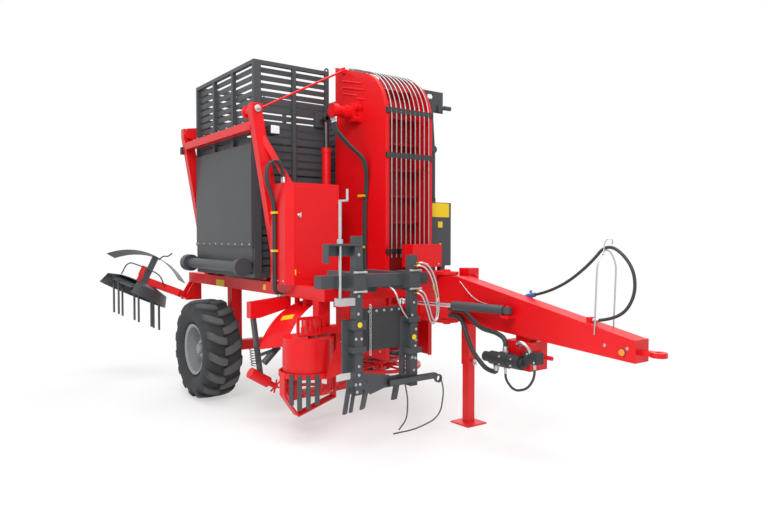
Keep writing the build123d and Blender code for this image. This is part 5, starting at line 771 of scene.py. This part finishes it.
# Name, solid, body, way they point, radius of the washer, places
BOLT_GROUPS = (
    ("topper_bolts", "topper_frame", "chassis", FRONT, 0.012, [(2.8, y, z) for y, z in TOPPER_BOLTS]),
    ("pivot_front_nut", "tip_arms", "bunker", FRONT, 0.034, [(1.3, -1.06, 2.98)]),
    ("pivot_rear_nut", "tip_arms", "bunker", REAR, 0.034, [(-0.85, -1.06, 2.98)]),
    ("pump_bolts", "drive_pump", "drawbar", RIGHT, 0.010, [(x, 0.05, z) for x, z in PUMP_BOLTS]),
    ("gearbox_bolts", "drive_gearbox", "drawbar", LEFT, 0.011, GEARBOX_BOLTS),
    ("cage_bolts", "lifting_cage", "cage", UP, 0.012, CAGE_BOLTS),
    ("jack_bolts", "jack_sleeve", "drawbar", RIGHT, 0.010, [(x, 0.40, z) for x, z in JACK_BOLTS]),
)
for group in BOLT_GROUPS:
    seated_bolts(*group)

# %% [markdown]
# ## Work lamps
# The work lamps are small boxes with a glass in front. The glass could be one flat sheet, but its upright
# ribs catch the light, so each rib is a thin plate of its own.

# %% Work lamps
LAMP_FRAME, LAMP_GLASS, LAMP_RIB = (0.104, 0.089), (0.090, 0.075), (0.007, 0.066)  # width and height
RIB_COUNT, RIB_PITCH = 7, 0.0115
GLASS_OUT, RIB_OUT = 0.005, 0.004  # how far the glass stands out, and a rib on it


def lamp_front(name, place, right):
    """A ribbed glass in a black frame."""
    lamp_frame = bmesh.new()
    plate(lamp_frame, spot(*place), right, UP, LAMP_FRAME, thick=0.006, corner=0.010)
    from_mesh(name + "_frame", lamp_frame, black_paint, "chassis")
    glass = bmesh.new()
    out = Vector(right).cross(Vector(UP))
    middle = spot(*place) + out * GLASS_OUT
    plate(glass, middle, right, UP, LAMP_GLASS, thick=0.005, corner=0.007)
    for index in range(RIB_COUNT):
        shift = Vector(right) * (index - RIB_COUNT // 2) * RIB_PITCH
        plate(glass, middle + shift + out * RIB_OUT, right, UP, LAMP_RIB, thick=0.003, corner=0.002)
    from_mesh(name + "_glass", glass, lamp_glass, "chassis")


lamp_front("front_lamp", (1.245, -0.9, 2.79), LEFT)
lamp_front("rear_lamp", (-0.80, -1.06, 2.79), RIGHT)

# %% [markdown]
# ## Reflectors
# A reflector is a round moulded disc with a raised middle, set in a black tray. The two yellow dots on the
# topper's posts have the same shape, so they come from the same table.

# %% Reflectors
# Profiles: share of the radius, height
TRAY = ((1.15, 0), (1.15, 0.004), (1.05, 0.006))
LENS = ((1, 0.004), (1, 0.008), (0.9, 0.0105), (0.4, 0.0115))
LENS_MIDDLE = ((0.24, 0.011), (0.24, 0.014), (0.18, 0.015))
# Name, solid, body, place, way it faces, radius, finish
REFLECTORS = (
    ("drawbar_reflector", "drawbar_beam", "drawbar", (4.262, 0.2, 0.953), RIGHT, 0.024, orange_lens),
    ("drawbar_reflector_left", "drawbar_beam", "drawbar", (4.262, 0.42, 0.953), LEFT, 0.024, orange_lens),
    ("topper_dot_right", "topper_frame", "chassis", (2.8, -0.957, 1.078), FRONT, 0.022, yellow_paint),
    ("topper_dot_left", "topper_frame", "chassis", (2.8, -0.410, 0.935), FRONT, 0.022, yellow_paint),
    ("rear_reflector_right", "chassis_frame", "chassis", (-1.35, -0.62, 1.25), REAR, 0.036, red_lens),
    ("rear_reflector_left", "chassis_frame", "chassis", (-1.35, 0.62, 1.25), REAR, 0.036, red_lens),
)


def widened(profile, radius):
    """A profile given in shares of a radius."""
    return [(share * radius, height) for share, height in profile]


for name, node, body, place, axis, radius, finish in REFLECTORS:
    middle = seat(node, place, axis)
    tray = bmesh.new()
    turned(tray, widened(TRAY, radius), middle, axis, steps=28)
    from_mesh(name + "_tray", tray, black_paint, body)
    lens = bmesh.new()
    turned(lens, widened(LENS, radius), middle, axis, steps=28)
    turned(lens, widened(LENS_MIDDLE, radius), middle, axis, steps=12)
    from_mesh(name + "_lens", lens, finish, body)

# %% [markdown]
# ## Plain yellow plates
# The yellow plates carry nothing: they are plain sheet with a rivet at each end, seated on the solid behind
# them like the bolts.

# %% Plain yellow plates
HOOD_WAY = Vector((0.315, 0.11, 0.06)).normalized()
HOOD_OUT = Vector((0, -0.72, 0.69))
RIVET = ((0.004, 0), (0.004, 0.0015), (0.002, 0.0026))
RIVET_INSET, RIVET_OUT = 0.008, 0.002
# Name, solid, place, way it faces, way to its right, width, height
YELLOW_PLATES = (
    ("cabinet_plate", "oil_cabinet", (1.6, -0.835, 1.43), FRONT, LEFT, 0.052, 0.05),
    ("hood_plate", "lifter_hood", (1.50, -0.93, 1.03), HOOD_OUT, HOOD_WAY, 0.15, 0.055),
    ("valve_plate_high", "valve_cabinet", (1.85, 0.735, 2.040), FRONT, LEFT, 0.235, 0.145),
    ("valve_plate_middle", "valve_cabinet", (1.85, 0.730, 1.890), FRONT, LEFT, 0.064, 0.062),
    ("valve_plate_low", "valve_cabinet", (1.85, 0.731, 1.672), FRONT, LEFT, 0.028, 0.046),
    ("beam_plate_rear", "chassis_frame", (-0.270, -0.9, 1.230), RIGHT, FRONT, 0.24, 0.075),
    ("beam_plate_front", "chassis_frame", (0.881, -0.9, 1.25), RIGHT, FRONT, 0.06, 0.055),
)
for name, node, place, axis, right, wide, high in YELLOW_PLATES:
    middle = seat(node, place, axis)
    axis, right = Vector(axis), Vector(right)
    sheet = bmesh.new()
    plate(sheet, middle, right, axis.cross(right), (wide, high), thick=0.003, corner=0.004)
    for end in (-1, 1):
        rivet = middle + right * (end * (wide / 2 - RIVET_INSET)) + axis.normalized() * RIVET_OUT
        turned(sheet, RIVET, rivet, axis, steps=12)
    from_mesh(name, sheet, yellow_paint, "chassis")

# %% [markdown]
# ## The cabinet's door
# The oil tank sits in a tall cabinet whose front is a door. A line drawn round it would not catch light, so
# the door is a thin plate with three hinges at one side and a turn lock at the other.

# %% The cabinet's door
HINGE = ((0.009, -0.035), (0.009, -0.001), (0.007, 0), (0.009, 0.001), (0.009, 0.035))
HINGE_HEIGHTS = (1.50, 1.80, 2.10)
LOCK = ((0.020, 0), (0.020, 0.005), (0.016, 0.008), (0.010, 0.009), (0.010, 0.022), (0.008, 0.024))

door = bmesh.new()
plate(door, spot(1.5600, -0.6225, 1.80), LEFT, UP, (0.455, 0.86), thick=0.004, corner=0.02)
for hinge_z in HINGE_HEIGHTS:
    turned(door, HINGE, spot(1.566, -0.388, hinge_z), UP, steps=16)
from_mesh("cabinet_door", door, red_paint, "chassis")
lock = bmesh.new()
turned(lock, LOCK, spot(1.564, -0.812, 1.962), FRONT, steps=24)
plate(lock, spot(1.586, -0.812, 1.962), LEFT, UP, (0.012, 0.05), thick=0.006, corner=0.005)
from_mesh("cabinet_lock", lock, bare_steel, "chassis")

# %% [markdown]
# ## Hose ends
# Thick hoses are part of the solids. Here they get what makes them hoses: a pressed sleeve and a nut at each
# port. One profile serves all widths, because fittings grow with their hose.

# %% Hose ends
# Profile of a pressed sleeve: radius and length in hose radii
PRESSED_SLEEVE = ((1.12, 1.0), (1.22, 1.1), (1.22, 3.2), (1.12, 3.4), (1.18, 3.6), (1.18, 4.6), (1.04, 4.8))


def hose_end(bm, place, axis, radius, stretch=1.0):
    """Adds a pressed sleeve with its nut, from the port outwards."""
    nut = 0.9 * radius * stretch
    nut_profile = ((1.45 * radius, 0), (1.45 * radius, nut), (1.3 * radius, 1.1 * nut))
    turned(bm, nut_profile, place, axis, steps=6)
    sleeve = [(across * radius, along * radius * stretch) for across, along in PRESSED_SLEEVE]
    turned(bm, sleeve, place, axis, steps=20)


TANK_HOSE, THICK_HOSE, THIN_HOSE, DRIVE_HOSE = 0.014, 0.020, 0.010, 0.011  # radii
SHORT_SLEEVE = 0.5  # a thick hose has a shorter sleeve for its width
# Body, radius, stretch of the sleeve, port, way the hose leaves it
HOSE_ENDS = (
    ("chassis", TANK_HOSE, 1.0, spot(1.300, -0.850, 2.265), UP),
    ("chassis", TANK_HOSE, 1.0, spot(1.329, -0.850, 2.265), UP),
    ("chassis", TANK_HOSE, 1.0, spot(1.300, -0.842, 1.200), RIGHT),
    ("chassis", TANK_HOSE, 1.0, spot(1.329, -0.842, 1.200), RIGHT),
    ("drawbar", THICK_HOSE, SHORT_SLEEVE, spot(3.260, 0.141, 0.824), UP),
    ("drawbar", THICK_HOSE, SHORT_SLEEVE, spot(3.160, 0.141, 0.705), DOWN),
    ("drawbar", THIN_HOSE, 1.0, spot(3.260, 0.141, 0.696), DOWN),
    ("drawbar", THIN_HOSE, 1.0, spot(3.545, 0.161, 0.770), DOWN),
)
# The elevator drive's three hoses hang from the top of their solid
drive_low, drive_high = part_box("elevator_hoses")
drive_ends = []
for x in (1.346, 1.38, 1.414):
    top = Vector((spot(x, 0, 0).x, drive_low.y + DRIVE_HOSE, drive_high.z))
    drive_ends.append(("chassis", DRIVE_HOSE, 1.0, top, DOWN))
for body in ("chassis", "drawbar"):
    ends = bmesh.new()
    for carrier, radius, stretch, port, axis in (*HOSE_ENDS, *drive_ends):
        if carrier == body:
            hose_end(ends, port, axis, radius, stretch)
    from_mesh("hose_ends_" + body, ends, bare_steel, body)

# %% [markdown]
# ## Hose clamps
# Yellow clamps hold the hoses to the sheet behind them. A real clamp is a bent strap, and here it is a strap
# with a leg and a small bolt at each end.

# %% Hose clamps
CLAMP_HEIGHT, CLAMP_LEG = 0.022, 0.03
LEG_INSET, LEG_BACK = 0.004, 0.014  # in from the strap's end, and behind the strap
SCREW_INSET, SCREW_OUT = 0.010, 0.005  # in from the strap's end, and out from its back
# Middle, width
CLAMPS = (
    ((1.3145, -0.9585, 1.990), 0.088),
    ((1.3145, -0.9585, 1.628), 0.088),
    ((1.529, -0.098, 2.172), 0.10),
    ((1.529, -0.098, 1.660), 0.10),
)
clamps = bmesh.new()
for place, wide in CLAMPS:
    middle = spot(*place)
    plate(clamps, middle, FRONT, UP, (wide, CLAMP_HEIGHT), thick=0.006, corner=0.005)
    for end in (-1, 1):
        leg = middle + Vector((end * (wide / 2 - LEG_INSET), LEG_BACK, 0))
        plate(clamps, leg, (0, -end, 0), UP, (CLAMP_LEG, CLAMP_HEIGHT), thick=0.004, corner=0.003)
        screw = middle + Vector((end * (wide / 2 - SCREW_INSET), -SCREW_OUT, 0))
        bolt(clamps, screw, RIGHT, size=0.005)
from_mesh("hose_clamps", clamps, yellow_paint, "chassis")

# %% [markdown]
# ## The topper's bent pipes
# The bright loops at the topper are bent steel pipes that stand off their post, so they are drawn as stiff
# round lines. Two run side by side, a third is short, and brass fittings close their ends.

# %% Bent pipes and their fittings
PIPE_RADIUS = 0.0075
PIPE_ROUTE = (
    (2.757, -0.400, 1.520), (2.800, -0.395, 1.530), (2.812, -0.330, 1.510), (2.815, -0.270, 1.430),
    (2.815, -0.225, 1.300), (2.815, -0.205, 1.150), (2.815, -0.228, 1.040), (2.815, -0.275, 1.040),
    (2.812, -0.310, 1.150), (2.808, -0.355, 1.270), (2.795, -0.395, 1.300), (2.757, -0.400, 1.300),
)
SECOND_PIPE = Vector((0.004, 0.020, 0.022))  # where it lies beside the first
SHORT_PIPE = (
    (2.690, -0.610, 1.352), (2.770, -0.612, 1.330), (2.785, -0.590, 1.230), (2.782, -0.520, 1.120),
    (2.740, -0.450, 1.080),
)
PIPE_ENDS = ((2.755, -0.400, 1.520), (2.755, -0.380, 1.542), (2.755, -0.400, 1.300), (2.755, -0.380, 1.322))
PIPE_JOINT = ((0.013, -0.02), (0.013, 0.02), (0.010, 0.024))
PIPE_JOINTS = ((2.815, -0.243, 1.343), (2.815, -0.21955, 1.276))

pipe = [spot(*place) for place in PIPE_ROUTE]
round_line("topper_pipe_0", pipe, PIPE_RADIUS, bare_steel, "chassis", detail=8)
second_pipe = [place + SECOND_PIPE for place in pipe]
round_line("topper_pipe_1", second_pipe, PIPE_RADIUS, bare_steel, "chassis", detail=8)
short_pipe = [spot(*place) for place in SHORT_PIPE]
round_line("topper_short_pipe", short_pipe, PIPE_RADIUS, bare_steel, "chassis", detail=8)
fittings = bmesh.new()
for place in PIPE_ENDS:
    hose_end(fittings, spot(*place), FRONT, PIPE_RADIUS)
for place in PIPE_JOINTS:
    turned(fittings, PIPE_JOINT, spot(*place), (0, 0.2, -1), steps=12)
from_mesh("topper_fittings", fittings, brass, "chassis")

# %% [markdown]
# ## The topper's long bolts
# Each post is gripped by two long bolts that lie across its front, with a nut at either end and a stud that
# holds it to the post.

# %% Long bolts
LONG_BOLT_REACH = 0.062  # half its length
LONG_BOLT = ((0.008, -LONG_BOLT_REACH), (0.008, LONG_BOLT_REACH))
STUD = ((0.011, 0), (0.011, 0.024))
LONG_BOLT_X, STUD_X = 2.776, 2.755
END_NUT_INSET, STUD_INSET = 0.012, 0.02  # in from the bolt's end

long_bolts = bmesh.new()
for post_y in (-0.955, -0.406):
    for z in (1.485, 1.335):
        turned(long_bolts, LONG_BOLT, spot(LONG_BOLT_X, post_y, z), LEFT, steps=14)
        for end in (-1, 1):
            nut_y = post_y + end * (LONG_BOLT_REACH - END_NUT_INSET)
            bolt(long_bolts, spot(LONG_BOLT_X, nut_y, z), (0, end, 0), size=0.012)
            stud_y = post_y + end * (LONG_BOLT_REACH - STUD_INSET)
            turned(long_bolts, STUD, spot(STUD_X, stud_y, z), FRONT, steps=6)
from_mesh("topper_long_bolts", long_bolts, bare_steel, "chassis")

# %% [markdown]
# ## The chain before the curtain
# A short chain hangs in front of the rubber curtain. A link is a ring of wire pulled long, and each one is
# turned a little against the next. Fifteen links are few enough to model them all.

# %% Curtain chain
LINK_LENGTH, LINK_WIDTH, LINK_WIRE = 0.034, 0.020, 0.0036
LINK_COUNT, LINK_STEPS, WIRE_STEPS = 15, 20, 8
CHAIN_TOP = (2.684, -0.797, 1.205)
LINK_WAYS = (Vector((0.5, 0.87, 0)), Vector((0, 1, 0)))  # of every other link


def link(bm, middle, across):
    """Adds one link that stands upright, wide along one way."""
    up = Vector(UP)
    normal = across.cross(up)
    bend = LINK_WIDTH / 2 - LINK_WIRE
    rings = []
    for angle in around(LINK_STEPS):
        pulled = (LINK_LENGTH - LINK_WIDTH) / 2 * (1 if math.sin(angle) > 0 else -1)
        centre = middle + across * bend * math.cos(angle) + up * (bend * math.sin(angle) + pulled)
        out = (across * math.cos(angle) + up * math.sin(angle)).normalized()
        wire = [(out * math.cos(a) + normal * math.sin(a)) * LINK_WIRE for a in around(WIRE_STEPS)]
        rings.append([bm.verts.new(centre + corner) for corner in wire])
    for near, far in zip(rings, rings[1:] + rings[:1]):
        for step in range(WIRE_STEPS):
            after = (step + 1) % WIRE_STEPS
            bm.faces.new((near[step], near[after], far[after], far[step]))


chain = bmesh.new()
for index in range(LINK_COUNT):
    drop = Vector((0, 0, index * (LINK_LENGTH - 2 * LINK_WIRE)))
    link(chain, spot(*CHAIN_TOP) - drop, LINK_WAYS[index % 2])
from_mesh("curtain_chain", chain, bare_steel, "chassis")

# %% [markdown]
# ## Spring and thin pipes
# A coil spring stands beside the lifting unit's strut, a thin brake pipe runs along the drawbar's side, an
# elbow joins the pumps, and the hose holder ends in an open hook. All are round lines led by their points.

# %% Spring and thin pipes
COIL_STEPS = 12  # points in one turn


def coil(start, end, radius, turns):
    """Points of a coil from start to end."""
    start, end = spot(*start), spot(*end)
    steps = turns * COIL_STEPS
    points = []
    for step in range(steps + 1):
        angle = 2 * math.pi * step / COIL_STEPS
        middle = start.lerp(end, step / steps)
        points.append(middle + Vector((radius * math.cos(angle), radius * math.sin(angle), 0)))
    return points


strut_spring = coil((1.285, -1.166, 0.72), (1.285, -1.146, 0.55), 0.028, 7)
round_line("strut_spring", strut_spring, 0.004, dark_steel, "chassis", detail=4)

# Name, radius, detail, points
DRAWBAR_PIPES = (
    ("brake_pipe", 0.004, 8, (
        (2.630, 0.2255, 1.360), (2.720, 0.2255, 1.280), (2.800, 0.2255, 1.225),
        (2.900, 0.2255, 1.190), (3.000, 0.2255, 1.180),
    )),
    ("pump_elbow", 0.013, 10, (
        (3.400, 0.206, 0.885), (3.400, 0.150, 0.890), (3.405, 0.110, 0.910), (3.440, 0.100, 0.935),
        (3.490, 0.105, 0.925), (3.525, 0.130, 0.880), (3.530, 0.141, 0.800),
    )),
    ("holder_hook", 0.005, 8, (
        (4.083, 0.262, 1.625), (4.080, 0.272, 1.680), (4.082, 0.280, 1.722), (4.098, 0.290, 1.748),
        (4.122, 0.300, 1.744), (4.132, 0.306, 1.722), (4.120, 0.310, 1.708),
    )),
)
for name, radius, detail, route in DRAWBAR_PIPES:
    round_line(name, [spot(*place) for place in route], radius, bare_steel, "drawbar", detail)

# %% [markdown]
# ## The jack's pin
# The jack's leg is held at its height by a pin through the sleeve, and a ring keeps the pin from being lost.

# %% Jack pin and ring
PIN = ((0.009, -0.075), (0.011, -0.07), (0.011, 0.07), (0.018, 0.071), (0.018, 0.078), (0.009, 0.08))
PIN_RING, PIN_RING_STEPS, PIN_WIRE = 0.022, 14, 0.0028  # radius, points, radius of the wire

pin = bmesh.new()
turned(pin, PIN, spot(2.47, 0.49, 0.60), FRONT, steps=18)
from_mesh("jack_pin", pin, bare_steel, "drawbar")
ring_points = [
    spot(2.556, 0.49 + PIN_RING * math.sin(angle), 0.578 + PIN_RING * math.cos(angle))
    for angle in around(PIN_RING_STEPS) + [2 * math.pi]
]
round_line("jack_pin_ring", ring_points, PIN_WIRE, bare_steel, "drawbar", detail=4)

# %% [markdown]
# ## The floor
# The machine stands on a plain pale floor. The background is white by its own colour, not by more light: the
# floor and the world are white only where the camera or a reflection looks at them, so no lamp has to be
# turned up for it. The floor keeps the machine's shadow and fades to white away from it.

# %% Floor
FLOOR_SIZE = 80
FLOOR_COLOUR = (0.88, 0.88, 0.88, 1)
FLOOR_FADE = (2.6, 5.5)  # metres from the middle between which the floor turns to plain white
FLOOR_WHITE = 0.5  # share of white that the floor shows under the machine
WHITE = (1, 1, 1, 1)


def looked_at(flow):
    """1 where the camera, a reflection or a view through glass meets the surface, 0 for other light."""
    names = ("Is Camera Ray", "Is Glossy Ray", "Is Transmission Ray")
    rays = [flow.node("ShaderNodeLightPath", out=name) for name in names]
    return flow.node("ShaderNodeClamp", None, {"Value": rays[0] + rays[1] + rays[2]})


half = FLOOR_SIZE / 2
floor_corners = [(-half, -half, 0), (half, -half, 0), (half, half, 0), (-half, half, 0)]
floor_mesh = bpy.data.meshes.new("floor")
floor_mesh.from_pydata(floor_corners, [], [(0, 1, 2, 3)])
floor = bpy.data.objects.new("floor", floor_mesh)
bpy.context.scene.collection.objects.link(floor)

floor_finish, flow, place = start_finish("floor")
distance = flow.node("ShaderNodeVectorMath", {"operation": "LENGTH"}, {0: place}, out="Value")
fade_inputs = {"Value": distance, "From Min": FLOOR_FADE[0], "From Max": FLOOR_FADE[1]}
fade = flow.node("ShaderNodeMapRange", {"interpolation_type": "SMOOTHSTEP"}, fade_inputs)
diffuse = flow.node("ShaderNodeBsdfDiffuse", None, {"Color": FLOOR_COLOUR})
white = flow.node("ShaderNodeEmission", None, {"Color": WHITE, "Strength": 1.0})
shown = looked_at(flow) * (FLOOR_WHITE + (1 - FLOOR_WHITE) * fade)
surface = flow.node("ShaderNodeMixShader", None, {0: shown, 1: diffuse, 2: white})
flow.node("ShaderNodeOutputMaterial", None, {"Surface": surface})
floor.data.materials.append(floor_finish)
print("floor", FLOOR_SIZE, "metres wide")

# %% [markdown]
# ## World and lamps
# The world is a soft, slightly cool room for the light that falls on the machine, and white for what the
# camera sees past it. Three round softboxes do the rest: one from the front right gives the shapes, one from
# above fills them, and one from behind draws the far edges.

# %% World
ROOM_COLOUR, ROOM_STRENGTH = (0.95, 0.97, 1.0, 1), 0.55

world = bpy.data.worlds.new("studio")
bpy.context.scene.world = world
world.use_nodes = True
world.node_tree.nodes.clear()
flow = Flow(world.node_tree)
room = flow.node("ShaderNodeBackground", None, {"Color": ROOM_COLOUR, "Strength": ROOM_STRENGTH})
backdrop = flow.node("ShaderNodeBackground", None, {"Color": WHITE, "Strength": 1.0})
sky = flow.node("ShaderNodeMixShader", None, {0: looked_at(flow), 1: room, 2: backdrop})
flow.node("ShaderNodeOutputWorld", None, {"Surface": sky})
print("world", world.name, "strength", ROOM_STRENGTH)

# %% Lamps
# Name, place, the point it faces, size, power
LAMPS = (
    ("key_softbox", (5.5, -5.0, 6.5), (0.0, 0.0, 1.6), 4.0, 430),
    ("top_softbox", (0.5, 0.0, 9.0), (0.5, 0.0, 0.0), 7.0, 520),
    ("rear_softbox", (-6.0, 4.5, 5.5), (-0.5, 0.0, 1.5), 4.0, 220),
)
for name, place, aim, size, power in LAMPS:
    data = bpy.data.lights.new(name, "AREA")
    data.shape = "DISK"
    data.size = size
    data.energy = power
    lamp = bpy.data.objects.new(name, data)
    bpy.context.scene.collection.objects.link(lamp)
    lamp.location = place
    lamp.rotation_euler = (Vector(aim) - Vector(place)).to_track_quat("-Z", "Y").to_euler()
bpy.context.scene.view_settings.view_transform = "Standard"
print("studio lamps", len(LAMPS))
